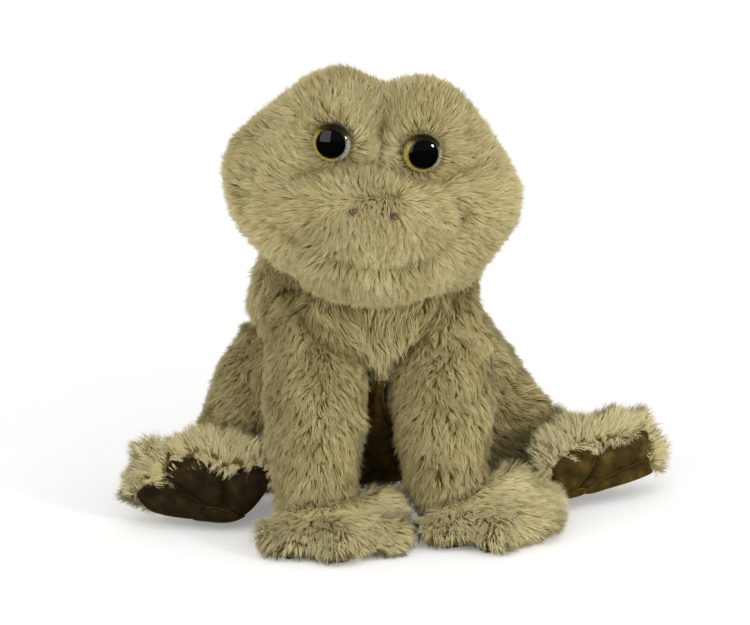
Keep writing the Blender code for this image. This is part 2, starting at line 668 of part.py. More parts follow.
def make_arm(side):
    form = arm_form(side)
    shoulder = shoulder_of(side)
    hip = hip_of(side)
    away = SIDES[side]
    reach = SLEEVE_HALF_LENGTH * 3

    def half_room(label, grow):
        """Everything on the other side of the gap between the two arms."""
        name = f"cutter_{label}_middle_{side}"
        edge = ARM_MIDDLE_GAP / 2 + grow
        if side == "left":
            edge -= SHOULDER_OUT - WRIST_OUT["left"]
        near = min(away * edge, -away * reach)
        far = max(away * edge, -away * reach)
        return box_cutter(name, (near, -reach, -reach), (far, reach, reach))

    def haunch(label, grow):
        name = f"cutter_{label}_haunch_{side}"
        return ball_cutter(name, hip, HAUNCH_RADIUS + SWING_ROOM + grow)

    skin = form_piece(f"arm_skin_{side}", form, shoulder, LIMB_SEGMENTS, LIMB_RINGS)
    cut(skin, half_room("arm", 0.0), haunch("arm", 0.0))
    hollow = form_cutter(f"cutter_arm_hollow_{side}", form, -PLUSH_WALL, INNER_SEGMENTS, INNER_RINGS)
    cut(hollow, half_room("arm_hollow", PLUSH_WALL), haunch("arm_hollow", PLUSH_WALL))
    cut(skin, hollow)
    into_body = NECK_PIVOT - shoulder
    length = SHOULDER_RADIUS + CUT_OVERRUN
    cut(skin, hide(rod(f"cutter_arm_opening_{side}", shoulder, into_body, ARM_OPENING_RADIUS, length)))

    stuffing = form_piece(
        f"arm_stuffing_{side}", form, shoulder, INNER_SEGMENTS, INNER_RINGS, PLUSH_WALL + STUFFING_GAP
    )
    padded = PLUSH_WALL + STUFFING_GAP
    cut(stuffing, half_room("arm_stuffing", padded), haunch("arm_stuffing", padded))
    finish(skin, OLIVE_PLUSH, 0.95)
    finish(stuffing, WHITE_FILLING, 1.0)


def make_hand(side):
    form = hand_form(side)
    wrist = wrist_of(side)
    sleeve = sleeve_form(side)
    away = SIDES[side]
    reach = HAND_HALF_WIDTH * 4

    def half_room(label, grow):
        edge = HAND_MIDDLE_GAP / 2 + grow
        offset = (HAND_OUT["left"] - HAND_OUT["right"]) / 2
        near = min(offset + away * edge, -away * reach)
        far = max(offset + away * edge, -away * reach)
        return box_cutter(f"cutter_{label}_middle_{side}", (near, -reach, -reach), (far, reach, reach))

    def arm_rooms(label, grow, sides=INNER_SIDES):
        """Where the end of the arm is, with room to swing."""
        ball = ball_cutter(f"cutter_{label}_ball_{side}", wrist, WRIST_RADIUS + TURNING_GAP + grow, sides)
        room = form_cutter(f"cutter_{label}_arm_{side}", sleeve, SWING_ROOM + grow, sides, sides // 2)
        return [ball, room]

    skin = form_piece(f"hand_skin_{side}", form, wrist, LIMB_SEGMENTS, LIMB_RINGS)
    cut(skin, floor_cutter(f"cutter_hand_floor_{side}", PALM_THICKNESS + SEWN_GAP), half_room("hand", 0.0))
    cut(skin, *arm_rooms("hand", 0.0, SOCKET_SIDES))
    wall = PLUSH_WALL - STUFFING_GAP
    hollow = form_cutter(f"cutter_hand_hollow_{side}", form, -wall, INNER_SEGMENTS, INNER_RINGS)
    cut(hollow, floor_cutter(f"cutter_hand_hollow_floor_{side}", PALM_THICKNESS + SEWN_GAP + wall / 2))
    cut(hollow, half_room("hand_hollow", wall), *arm_rooms("hand_hollow", wall))
    cut(skin, hollow)
    inside = Vector((form.centre[0], form.centre[1] - HAND_HALF_LENGTH / 2, HAND_CENTRE_HEIGHT))
    length = (inside - wrist).length
    cut(skin, hide(rod(f"cutter_hand_opening_{side}", wrist, inside - wrist, HAND_OPENING_RADIUS, length)))

    palm = form_piece(f"hand_palm_{side}", form, wrist, LIMB_SEGMENTS, LIMB_RINGS)
    slab = box_cutter(f"cutter_palm_{side}", (-reach, -reach, 0.0), (reach, reach, PALM_THICKNESS))
    cut(palm, slab, operation="INTERSECT")
    cut(palm, half_room("palm", 0.0))

    padded = wall + STUFFING_GAP
    stuffing = form_piece(f"hand_stuffing_{side}", form, wrist, INNER_SEGMENTS, INNER_RINGS, padded)
    low = PALM_THICKNESS + SEWN_GAP + wall / 2 + STUFFING_GAP
    cut(stuffing, floor_cutter(f"cutter_hand_stuffing_floor_{side}", low))
    cut(stuffing, half_room("hand_stuffing", padded), *arm_rooms("hand_stuffing", padded))
    finish(skin, OLIVE_PLUSH, 0.95)
    finish(palm, DARK_VELVET, 0.85)
    finish(stuffing, WHITE_FILLING, 1.0)


def make_leg(side):
    form = leg_form(side)
    hip = hip_of(side)
    out = Vector((SIDES[side], 0.0, 0.0))
    reach = HAUNCH_RADIUS * 4

    def inner_room(label, grow):
        """Everything towards the body from the face that turns against it."""
        edge = SIDES[side] * (HIP_FACE_OUT + grow)
        near = min(edge, -SIDES[side] * reach)
        far = max(edge, -SIDES[side] * reach)
        return box_cutter(f"cutter_{label}_face_{side}", (near, -reach, -reach), (far, reach, reach))

    skin = form_piece(f"leg_skin_{side}", form, hip, LIMB_SEGMENTS, LIMB_RINGS)
    cut(skin, inner_room("leg", 0.0))
    hollow = form_cutter(f"cutter_leg_hollow_{side}", form, -PLUSH_WALL, INNER_SEGMENTS, INNER_RINGS)
    cut(hollow, inner_room("leg_hollow", PLUSH_WALL))
    cut(skin, hollow)
    start = hip - out * CUT_OVERRUN
    cut(skin, hide(rod(f"cutter_leg_opening_{side}", start, out, LEG_OPENING_RADIUS, CUT_OVERRUN)))

    padded = PLUSH_WALL + STUFFING_GAP
    stuffing = form_piece(f"leg_stuffing_{side}", form, hip, INNER_SEGMENTS, INNER_RINGS, padded)
    cut(stuffing, inner_room("leg_stuffing", padded))
    finish(skin, OLIVE_PLUSH, 0.95)
    finish(stuffing, WHITE_FILLING, 1.0)


def make_foot(side):
    form = foot_form(side)
    ankle = ankle_of(side)
    shin = shin_form(side)
    reach = FOOT_HALF_LENGTH * 2
    centre = Vector(form.centre)

    def leg_rooms(label, grow, sides=INNER_SIDES):
        """Where the end of the leg is, with room to swing."""
        ball = ball_cutter(f"cutter_{label}_ball_{side}", ankle, ANKLE_RADIUS + TURNING_GAP + grow, sides)
        room = form_cutter(f"cutter_{label}_leg_{side}", shin, SWING_ROOM + grow, sides, sides // 2)
        return [ball, room]

    def slice_box(label, front, back):
        """A slab of the foot between two depths, measured back from the front of the toes."""
        low = (-reach, front - FOOT_HALF_THICKNESS, -reach)
        high = (reach, back - FOOT_HALF_THICKNESS, reach)
        return box_cutter(f"cutter_{label}_{side}", low, high, form.axes, centre)

    skin = form_piece(f"foot_skin_{side}", form, ankle, LIMB_SEGMENTS, LIMB_RINGS)
    cut(skin, floor_cutter(f"cutter_foot_floor_{side}", 0.0))
    cut(skin, slice_box("foot_front", -CUT_OVERRUN, SOLE_DEPTH + SEWN_GAP))
    cut(skin, *leg_rooms("foot", 0.0, SOCKET_SIDES))
    wall = PLUSH_WALL - STUFFING_GAP
    hollow = form_cutter(f"cutter_foot_hollow_{side}", form, -wall, INNER_SEGMENTS, INNER_RINGS)
    cut(hollow, slice_box("foot_hollow_front", -CUT_OVERRUN, SOLE_DEPTH + SEWN_GAP + wall / 2))
    cut(hollow, *leg_rooms("foot_hollow", wall / 2))
    cut(skin, hollow)
    inside = centre
    length = (inside - ankle).length
    cut(skin, hide(rod(f"cutter_foot_opening_{side}", ankle, inside - ankle, FOOT_OPENING_RADIUS, length)))

    sole = form_piece(f"foot_sole_{side}", form, ankle, LIMB_SEGMENTS, LIMB_RINGS)
    cut(sole, slice_box("sole", -CUT_OVERRUN, SOLE_DEPTH), operation="INTERSECT")
    cut(sole, floor_cutter(f"cutter_sole_floor_{side}", 0.0))

    padded = wall + STUFFING_GAP
    stuffing = form_piece(f"foot_stuffing_{side}", form, ankle, INNER_SEGMENTS, INNER_RINGS, padded)
    depth = SOLE_DEPTH + SEWN_GAP + wall / 2 + STUFFING_GAP
    cut(stuffing, slice_box("foot_stuffing_front", -CUT_OVERRUN, depth))
    cut(stuffing, *leg_rooms("foot_stuffing", wall / 2 + STUFFING_GAP))
    finish(skin, OLIVE_PLUSH, 0.95)
    finish(sole, DARK_VELVET, 0.85)
    finish(stuffing, WHITE_FILLING, 1.0)


def main():
    for thing in list(bpy.data.objects):
        bpy.data.objects.remove(thing, do_unlink=True)
    make_body()
    make_neck()
    make_head()
    for side in SIDES:
        make_arm(side)
        make_hand(side)
        make_leg(side)
        make_foot(side)


main()
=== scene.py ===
# %% [markdown]
# # A plush frog, dressed in Blender
#
# The real toy is sewn from long olive pile cloth over soft filling, with dark velvet soles and clear
# plastic eyes. The engineering model already holds every sewn form at its true size. This script lays
# cloth, pile, velvet, thread and eyes over those forms, so each step begins by measuring them.

import json
import math

import bpy
import numpy as np
from mathutils import Matrix, Vector
from mathutils.bvhtree import BVHTree
from mathutils.kdtree import KDTree


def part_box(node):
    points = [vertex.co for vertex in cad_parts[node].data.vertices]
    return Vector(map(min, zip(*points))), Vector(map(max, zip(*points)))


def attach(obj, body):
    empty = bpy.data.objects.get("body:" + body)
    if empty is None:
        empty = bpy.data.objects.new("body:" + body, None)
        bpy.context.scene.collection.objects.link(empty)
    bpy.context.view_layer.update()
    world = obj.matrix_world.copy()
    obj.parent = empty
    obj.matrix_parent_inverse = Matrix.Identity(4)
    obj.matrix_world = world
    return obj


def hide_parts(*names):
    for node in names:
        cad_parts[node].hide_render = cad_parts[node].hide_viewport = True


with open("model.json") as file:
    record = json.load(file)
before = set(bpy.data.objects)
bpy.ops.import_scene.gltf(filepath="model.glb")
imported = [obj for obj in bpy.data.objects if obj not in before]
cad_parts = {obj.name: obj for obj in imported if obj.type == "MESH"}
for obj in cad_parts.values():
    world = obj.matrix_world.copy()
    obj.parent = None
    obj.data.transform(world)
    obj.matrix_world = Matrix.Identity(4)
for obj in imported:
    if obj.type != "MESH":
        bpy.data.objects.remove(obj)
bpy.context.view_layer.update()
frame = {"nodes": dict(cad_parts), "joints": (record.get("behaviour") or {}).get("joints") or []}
MM = 0.001
SIDES = {"right": -1.0, "left": 1.0}
print("forms to dress:", len(frame["nodes"]))

# %% [markdown]
# The photograph was taken from a little above and from the frog's right. The camera comes first, because
# outlines and creases are later traced by looking through it.

# %% Camera at the photograph's angle
PHOTO_WIDTH_PIXELS = 750
PHOTO_HEIGHT_PIXELS = 625
PIXELS_PER_METRE = 1950.0
CAMERA_TARGET = Vector((0.0, -0.020, 0.100))
CAMERA_DISTANCE = 3.0
CAMERA_ELEVATION = math.radians(16.0)
CAMERA_ASIDE = math.radians(12.0)

away = Vector(
    (
        -math.sin(CAMERA_ASIDE) * math.cos(CAMERA_ELEVATION),
        -math.cos(CAMERA_ASIDE) * math.cos(CAMERA_ELEVATION),
        math.sin(CAMERA_ELEVATION),
    )
)
bpy.ops.object.camera_add(location=CAMERA_TARGET + away * CAMERA_DISTANCE)
camera = bpy.context.object
camera.rotation_euler = away.to_track_quat("Z", "Y").to_euler()
camera.data.sensor_width = 36.0
camera.data.lens = camera.data.sensor_width * CAMERA_DISTANCE * PIXELS_PER_METRE / PHOTO_WIDTH_PIXELS
bpy.context.scene.camera = camera
bpy.context.view_layer.update()
print("lens", round(camera.data.lens, 1), "mm")


def sight_line(pixel):
    """The camera's place and the direction in which it sees this pixel of the photograph."""
    across = (pixel[0] - PHOTO_WIDTH_PIXELS / 2) / PIXELS_PER_METRE
    up = (PHOTO_HEIGHT_PIXELS / 2 - pixel[1]) / PIXELS_PER_METRE
    seen = camera.matrix_world @ Vector((across, up, -CAMERA_DISTANCE))
    start = camera.matrix_world.translation
    return start, (seen - start).normalized()


camera_place = np.array(camera.matrix_world.translation)
camera_axes = np.array(camera.matrix_world.to_3x3())


def seen_pixels(places):
    """Where the camera sees these places, in pixels of the photograph, and the size of a pixel there."""
    local = (places - camera_place) @ camera_axes
    size = -local[:, 2] / (CAMERA_DISTANCE * PIXELS_PER_METRE)
    across = PHOTO_WIDTH_PIXELS / 2 + local[:, 0] / size
    down = PHOTO_HEIGHT_PIXELS / 2 - local[:, 1] / size
    return np.stack([across, down], axis=1), size


def on_plane(pixels, point, facing):
    """Where the sight lines through these pixels meet a plane."""
    met = []
    for pixel in pixels:
        start, direction = (np.array(line) for line in sight_line(pixel))
        met.append(start + direction * ((point - start) @ facing / (direction @ facing)))
    return met


# %% [markdown]
# A sewn form is a skin and its filling. Joined, wrapped in one even net of faces and smoothed, they give
# the cloth that the pile is woven into. The net leaves out the hollow inside, so each form is one body.

# %% Wrap the forms in cloth
CLOTH_VOXEL = 2.6 * MM
WELD = 0.01 * MM


def select_only(*things):
    bpy.ops.object.select_all(action="DESELECT")
    for thing in things:
        thing.select_set(True)
    bpy.context.view_layer.objects.active = things[0]


def finish_modifier(piece, kind, **settings):
    """Adds a modifier with its settings and applies it."""
    modifier = piece.modifiers.new(kind.title(), kind)
    for setting, value in settings.items():
        setattr(modifier, setting, value)
    select_only(piece)
    bpy.ops.object.modifier_apply(modifier=modifier.name)


def smooth(piece, rounds):
    finish_modifier(piece, "SMOOTH", factor=0.5, iterations=rounds)


def linked(name, mesh):
    """A new piece of this mesh, in the scene."""
    piece = bpy.data.objects.new(name, mesh)
    bpy.context.scene.collection.objects.link(piece)
    return piece


def places_of(piece):
    places = np.empty(len(piece.data.vertices) * 3)
    piece.data.vertices.foreach_get("co", places)
    return places.reshape(-1, 3)


def normals_of(piece):
    normals = np.empty(len(piece.data.vertices) * 3)
    piece.data.vertices.foreach_get("normal", normals)
    return normals.reshape(-1, 3)


def move_places(piece, places):
    piece.data.vertices.foreach_set("co", places.ravel())
    piece.data.update()


def wrapped(name, nodes, voxel=CLOTH_VOXEL, rounds=8, fill=0.0, cushions=()):
    """One smooth closed form round these solids and cushions. Notches narrower than twice the fill close up."""
    copies = list(cushions)
    for node in nodes:
        mesh = frame["nodes"][node].data.copy()
        mesh.materials.clear()
        copies.append(linked(name, mesh))
    select_only(*copies)
    if len(copies) > 1:
        bpy.ops.object.join()
    form = copies[0]
    bpy.ops.object.mode_set(mode="EDIT")
    bpy.ops.mesh.select_all(action="SELECT")
    bpy.ops.mesh.remove_doubles(threshold=WELD)
    bpy.ops.object.mode_set(mode="OBJECT")
    finish_modifier(form, "REMESH", mode="VOXEL", voxel_size=voxel)
    if fill:
        move_places(form, places_of(form) + normals_of(form) * fill)
        finish_modifier(form, "REMESH", mode="VOXEL", voxel_size=voxel)
        smooth(form, 4)
        move_places(form, places_of(form) - normals_of(form) * fill)
    smooth(form, rounds)
    for layer in list(form.data.uv_layers):
        form.data.uv_layers.remove(layer)
    form.name = name
    form.data.name = name
    form.data.shade_smooth()
    return form


def joint_place(name):
    for joint in frame["joints"]:
        if joint["name"] == name:
            return Vector(joint["pos_m"])


def tree_of(piece):
    places = [Vector(place) for place in places_of(piece)]
    return BVHTree.FromPolygons(places, [tuple(face.vertices) for face in piece.data.polygons])


def plane_of(node):
    """The middle of a flat piece of the frame, the way its front looks and how far its front lies out."""
    places = places_of(frame["nodes"][node])
    middle = places.mean(axis=0)
    facing = np.linalg.svd(places - middle, full_matrices=False)[2][2]
    facing *= -np.sign(facing[1])
    return middle, facing, ((places - middle) @ facing).max()


# %% [markdown]
# A soft toy bulges where no solid does: on the inner toes, round the rim of a foot, under the legs and over
# the tops of the arms. Each bulge is a cushion. Its edge is traced in the photograph and laid on a plane,
# and rings of that edge are drawn in towards the middle and raised, as a padded shape is.

# %% How a cushion is made
CUSHION_RINGS = 7
CUSHION_ROUNDNESS = 0.62
CUSHION_EDGE_POINTS = 56
CURVE_STEPS = 20
LOWEST_CUSHION = 0.3 * MM


def smooth_loop(points, count):
    """This many even points of a smooth closed curve through a few."""
    points = np.array(points)
    before, after, next_after = (np.roll(points, turn, axis=0) for turn in (1, -1, -2))
    slope = after - before
    bend = 2 * before - 5 * points + 4 * after - next_after
    twist = 3 * points - before - 3 * after + next_after
    pieces = []
    for share in np.linspace(0, 1, CURVE_STEPS, endpoint=False):
        pieces.append(0.5 * (2 * points + slope * share + bend * share**2) + 0.5 * twist * share**3)
    curve = np.stack(pieces, axis=1).reshape(-1, points.shape[1])
    steps = np.linalg.norm(np.roll(curve, -1, axis=0) - curve, axis=1)
    along = np.concatenate([[0], np.cumsum(steps)])
    curve = np.vstack([curve, curve[:1]])
    wanted = np.linspace(0, along[-1], count, endpoint=False)
    return np.stack([np.interp(wanted, along, curve[:, axis]) for axis in range(points.shape[1])], axis=1)


def cushion(name, pixels, point, facing, rise, drop):
    """A closed cushion on a plane. Its edge is traced in pixels, and it is domed by these heights on both sides."""
    edge = smooth_loop(on_plane(pixels, point, facing), CUSHION_EDGE_POINTS)
    middle = edge.mean(axis=0)
    rings = []
    for ring in range(1 - CUSHION_RINGS, CUSHION_RINGS):
        angle = math.pi / 2 * ring / CUSHION_RINGS
        height = (rise if ring > 0 else drop) * math.sin(angle)
        rings.append(middle + (edge - middle) * math.cos(angle) ** CUSHION_ROUNDNESS + facing * height)
    points = np.vstack(rings + [[middle + facing * rise], [middle - facing * drop]])
    points[:, 2] = np.maximum(points[:, 2], LOWEST_CUSHION)
    top, bottom = len(points) - 2, len(points) - 1
    last = (len(rings) - 1) * CUSHION_EDGE_POINTS
    faces = []
    for place in range(CUSHION_EDGE_POINTS):
        following = (place + 1) % CUSHION_EDGE_POINTS
        for ring in range(len(rings) - 1):
            low, high = ring * CUSHION_EDGE_POINTS, (ring + 1) * CUSHION_EDGE_POINTS
            faces.append((low + place, low + following, high + following, high + place))
        faces.append((last + place, last + following, top))
        faces.append((following, place, bottom))
    mesh = bpy.data.meshes.new(name)
    mesh.from_pydata(points.tolist(), [], faces)
    mesh.update()
    piece = linked(name, mesh)
    select_only(piece)
    bpy.ops.object.mode_set(mode="EDIT")
    bpy.ops.mesh.select_all(action="SELECT")
    bpy.ops.mesh.normals_make_consistent(inside=False)
    bpy.ops.object.mode_set(mode="OBJECT")
    return piece


# Where the pile's outline runs on the hands and hind feet, traced in pixels
OUTLINE_PIXELS = {
    "hand_right": [
        (255, 519), (257, 537), (264, 554), (276, 553), (289, 549), (302, 553), (326, 563), (343, 556), (374, 550),
        (390, 559), (405, 552), (410, 540), (408, 524), (405, 499), (394, 490), (372, 486),
    ],
    "hand_left": [
        (412, 525), (419, 535), (439, 544), (454, 536), (477, 545), (498, 552), (513, 547), (529, 543), (544, 535),
        (557, 527), (563, 512), (562, 497), (554, 489), (536, 482), (516, 473), (503, 466),
    ],
    "foot_right": [
        (123, 474), (123, 497), (134, 501), (152, 507), (195, 515), (238, 513), (255, 507), (270, 498), (284, 484),
        (290, 465), (286, 447), (271, 442), (249, 437), (220, 431), (194, 428), (166, 439), (148, 453),
    ],
    "foot_left": [
        (530, 453), (534, 434), (557, 423), (574, 420), (594, 416), (611, 406), (626, 410), (649, 414), (657, 426),
        (669, 449), (664, 468), (653, 475), (630, 483), (600, 491), (568, 498), (554, 491), (537, 477),
    ],
}
INNER_TOE_PIXELS = {
    "right": [
        (352, 503), (368, 494), (388, 494), (401, 500), (404, 522), (406, 540), (400, 551), (388, 556), (374, 548),
        (355, 530),
    ],
    "left": [(505, 474), (530, 482), (550, 489), (560, 498), (560, 512), (553, 524), (530, 530), (505, 515)],
}
# The leg's pile goes on behind the hand and the foot
UNDER_LEG_PIXELS = {
    "right": [(250, 440), (275, 436), (290, 450), (292, 478), (275, 486), (255, 480)],
    "left": [(466, 425), (520, 425), (545, 455), (535, 480), (500, 488), (466, 484)],
}
# The chest bulges over the tops of the arms, to the creases
CHEST_FILL_PIXELS = [
    (306, 290), (308, 318), (324, 334), (340, 346), (358, 356), (375, 366), (388, 357), (404, 348), (424, 334),
    (444, 312), (450, 288), (380, 270),
]
CHEST_FACING = np.array((0.0, -1.0, 0.1)) / math.hypot(1.0, 0.1)
HAND_SLOPE = np.array((0.0, -0.17, 1.0)) / math.hypot(0.17, 1.0)
HAND_FRONT = np.array((0.0, -0.1247, 0.0032))
STRAIGHT_AHEAD = np.array((0.0, -1.0, 0.0))
# How far each cushion stands out in front of its plane and behind it
INNER_TOE_DOME = (5.0 * MM, 6.0 * MM)
RIM_DOME = (4.0 * MM, 15.0 * MM)
UNDER_LEG_DOME = (8.0 * MM, 10.0 * MM)
CHEST_DOME = (6.0 * MM, 14.0 * MM)
# The plane of a rim lies this far behind the front of the sole
RIM_SINK = 5.0 * MM

body_nodes = {
    "body": ["body_skin", "body_stuffing", "belly_panel"],
    "head": ["head_skin", "head_stuffing"],
}
for side in SIDES:
    body_nodes[f"arm_{side}"] = [f"arm_skin_{side}", f"arm_stuffing_{side}"]
    body_nodes[f"hand_{side}"] = [f"hand_skin_{side}", f"hand_stuffing_{side}", f"hand_palm_{side}"]
    body_nodes[f"leg_{side}"] = [f"leg_skin_{side}", f"leg_stuffing_{side}"]
    body_nodes[f"foot_{side}"] = [f"foot_skin_{side}", f"foot_stuffing_{side}", f"foot_sole_{side}"]
NOTCH_FILL = {"hand": 5.0 * MM, "foot": 10.0 * MM}
cushions = {}
for side in SIDES:
    toe = cushion("inner_toe", INNER_TOE_PIXELS[side], HAND_FRONT, HAND_SLOPE, *INNER_TOE_DOME)
    cushions[f"hand_{side}"] = [toe]
    middle, facing, front = plane_of(f"foot_sole_{side}")
    rim_place = middle + facing * (front - RIM_SINK)
    rim = cushion("rim", OUTLINE_PIXELS[f"foot_{side}"], rim_place, facing, *RIM_DOME)
    cushions[f"foot_{side}"] = [rim]
    ankle = np.array(joint_place(f"ankle_{side}"))
    under = cushion("under_leg", UNDER_LEG_PIXELS[side], ankle, STRAIGHT_AHEAD, *UNDER_LEG_DOME)
    cushions[f"leg_{side}"] = [under]
crease_points = []
for side, pixels in (("right", [(321, 337), (352, 356)]), ("left", [(402, 348), (424, 336)])):
    arm_tree = tree_of(frame["nodes"][f"arm_skin_{side}"])
    for start, direction in (sight_line(pixel) for pixel in pixels):
        crease_points.append(np.array(arm_tree.ray_cast(start, direction)[0]))
chest_point = np.mean(crease_points, axis=0)
chest = cushion("chest", CHEST_FILL_PIXELS, chest_point, CHEST_FACING, *CHEST_DOME)
cushions["body"] = [chest]
print("the chest's front lies at", (chest_point / MM).round(1))
cloth = {}
for part, nodes in body_nodes.items():
    fill = NOTCH_FILL.get(part.split("_")[0], 0.0)
    cloth[part] = wrapped(f"{part}_cloth", nodes, fill=fill, cushions=cushions.get(part, ()))
outer_trees = {part: tree_of(form) for part, form in cloth.items()}
print("cloth faces:", {part: len(form.data.polygons) for part, form in cloth.items()})

# %% [markdown]
# The eyes decide where the face's pile parts. Each eye's middle and the way it looks are measured from
# the flat side of its lens: the direction in which its points spread least.

# %% Measure the eyes and nostrils
head_middle = (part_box("head_skin")[0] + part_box("head_skin")[1]) / 2
EYE_RADIUS = 9.8 * MM
LENS_RIM_DEPTH = 0.3 * MM
eyes = {}
nostrils = {}
for side in SIDES:
    lens = places_of(frame["nodes"][f"eye_lens_{side}"])
    middle = lens.mean(axis=0)
    facing = np.linalg.svd(lens - middle, full_matrices=False)[2][2]
    facing *= np.sign(facing @ (middle - np.array(head_middle)))
    ahead = (lens - middle) @ facing
    rim = lens[ahead < ahead.min() + LENS_RIM_DEPTH].mean(axis=0)
    eyes[side] = (Vector(rim), Vector(facing))
    low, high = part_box(f"nostril_{side}")
    nostrils[side] = (low + high) / 2
    print("eye", side, [round(c / MM, 1) for c in rim], [round(c, 2) for c in facing])
muzzle = (nostrils["right"] + nostrils["left"]) / 2

# %% [markdown]
# The pile stands on the cloth, so the cloth lies under the toy's outline by the height of the pile. At
# the eyes the cloth is drawn up to them by their posts. Creases are tugged in where the photograph shows
# the pile part. The outline itself is traced too: where a form turns out of sight, its cloth is first moved
# sideways onto the traced line.

# %% Draw the cloth in under the pile
PILE_HEIGHT = {
    "head": 6.2 * MM, "body": 6.0 * MM, "arm": 5.6 * MM, "hand": 4.4 * MM, "leg": 6.0 * MM, "foot": 7.0 * MM,
}
EYE_SEAT_RADIUS = 15.0 * MM
EYE_SEAT_DEPTH = 2.2 * MM
# Pixels along each crease of the face, then its depth and half width
FACE_CREASE_PIXELS = (
    ([(296, 172), (318, 167), (340, 163), (368, 161), (396, 166), (420, 174)], 4.6 * MM, 4.5 * MM),
    ([(420, 177), (445, 177), (478, 165)], 3.0 * MM, 3.6 * MM),
    ([(445, 186), (458, 208), (469, 235)], 2.0 * MM, 3.8 * MM),
    ([(388, 84), (385, 104), (384, 122)], 1.4 * MM, 4.6 * MM),
    ([(384, 122), (384, 151), (385, 163)], 2.6 * MM, 4.4 * MM),
    ([(383, 148), (384, 155)], 3.4 * MM, 2.6 * MM),
    ([
        (285, 240), (310, 252), (340, 264), (372, 270), (402, 268), (430, 258), (452, 242), (466, 222), (469, 204),
    ], 2.4 * MM, 3.6 * MM),
    ([(270, 226), (292, 236), (318, 240)], 2.0 * MM, 3.6 * MM),
    ([(376, 216), (377, 236), (378, 256)], 1.2 * MM, 3.5 * MM),
)

# The seam where each arm is set into the chest
ARM_CREASE_PIXELS = {
    "arm_right": (([(303, 319), (321, 337), (336, 346), (356, 358), (368, 373)], 5.5 * MM, 3.0 * MM),),
    "arm_left": (([(424, 336), (399, 349), (384, 362), (378, 372)], 3.5 * MM, 3.2 * MM),),
}

# Parts of the outline of the head, shoulders, back and thighs
HEAD_OUTLINE = [
    (262, 254), (240, 234), (226, 204), (221, 180), (223, 154), (234, 134), (257, 114), (282, 94), (308, 74),
    (333, 65), (345, 65), (366, 74), (386, 84), (404, 76), (430, 74), (452, 84), (471, 104), (486, 124), (500, 144),
    (512, 164), (523, 186), (520, 214), (511, 234), (495, 254), (487, 264),
]
SHOULDER_OUTLINE = [(285, 232), (266, 244), (258, 258), (253, 274), (249, 294), (244, 308), (243, 322)]
BACK_OUTLINE = [
    (450, 250), (468, 264), (475, 280), (477, 294), (481, 308), (491, 324), (508, 344), (522, 364), (534, 384),
    (551, 404), (562, 413), (580, 428),
]
OUTLINES = {
    "head": HEAD_OUTLINE,
    "body": SHOULDER_OUTLINE,
    "arm_right": SHOULDER_OUTLINE,
    "arm_left": BACK_OUTLINE,
    "leg_left": BACK_OUTLINE,
    "leg_right": [(243, 324), (234, 344), (220, 364), (213, 384), (207, 404), (202, 418), (192, 434), (176, 452)],
}
OUTLINES.update(OUTLINE_PIXELS)
FIT_REACH = {"leg": 36.0, "foot": 36.0}
USUAL_FIT_REACH = 22.0
FIT_SMOOTHING = {"head": 12, "leg": 8, "body": 8}
USUAL_FIT_SMOOTHING = 3
# A form counts as turning out of sight below the first share, and fully so this much lower
TURN_START = 0.95
TURN_BLEND = 0.6
REACH_FADE = 0.3
WASHER_COVER = 1.4 * MM
WASHER_REACH_BACK = 8 * MM

# The chest's pile covers the tops of the arms down to the creases
CHEST_PIXELS = [
    (262, 268), (303, 319), (321, 337), (336, 346), (356, 358), (370, 373), (377, 372), (384, 362), (399, 349),
    (424, 336), (450, 318), (478, 285), (470, 262), (380, 250),
]


def part_kind(part):
    return part.split("_")[0]


def seen_points(tree, pixels):
    found = []
    for pixel in pixels:
        start, direction = sight_line(pixel)
        hit = tree.ray_cast(start, direction)[0]
        if hit is not None:
            found.append(np.array(hit))
    return found


def fitted(places, normals, outline, reach, closed=False):
    """Moves the places where the form turns out of sight sideways, onto the outline traced in pixels."""
    pixels, size = seen_pixels(places)
    line = np.array(outline + outline[:1] if closed else outline, float)
    best = np.full(len(places), np.inf)
    shift = np.zeros((len(places), 2))
    for start, end in zip(line[:-1], line[1:]):
        along = end - start
        share = np.clip(((pixels - start) @ along) / (along @ along), 0, 1)
        offset = start + share[:, None] * along - pixels
        distance = np.linalg.norm(offset, axis=1)
        nearer = distance < best
        best[nearer] = distance[nearer]
        shift[nearer] = offset[nearer]
    sight = places - camera_place
    sight /= np.linalg.norm(sight, axis=1)[:, None]
    turned = np.abs((normals * sight).sum(axis=1))
    weight = np.clip((TURN_START - turned) / TURN_BLEND, 0, 1) * np.clip((reach - best) / (REACH_FADE * reach), 0, 1)
    shift *= (weight * size)[:, None]
    return places + shift[:, :1] * camera_axes[:, 0] - shift[:, 1:] * camera_axes[:, 1]


def laid_over_washers(places):
    """Lifts the cloth where it would sink through an eye's washer."""
    for side, (middle, facing) in eyes.items():
        middle, facing = np.array(middle), np.array(facing)
        washer = places_of(frame["nodes"][f"eye_washer_{side}"]) - middle
        front = (washer @ facing).max() + WASHER_COVER
        reach = np.linalg.norm(washer - (washer @ facing)[:, None] * facing, axis=1).max() + WASHER_COVER
        offset = places - middle
        ahead = offset @ facing
        aside = np.linalg.norm(offset - ahead[:, None] * facing, axis=1)
        over = (aside < reach) & (ahead > front - WASHER_REACH_BACK)
        places = places + facing * np.where(over, np.maximum(front - ahead, 0), 0)[:, None]
    return places


def nearness_to(points, places, width):
    """1 on the line through these points, falling smoothly to nothing a few widths away."""
    nearest = np.full(len(places), np.inf)
    for start, end in zip(points[:-1], points[1:]):
        along = end - start
        share = np.clip(((places - start) @ along) / (along @ along), 0, 1)
        nearest = np.minimum(nearest, np.linalg.norm(places - start - share[:, None] * along, axis=1))
    return np.exp(-((nearest / width) ** 2))


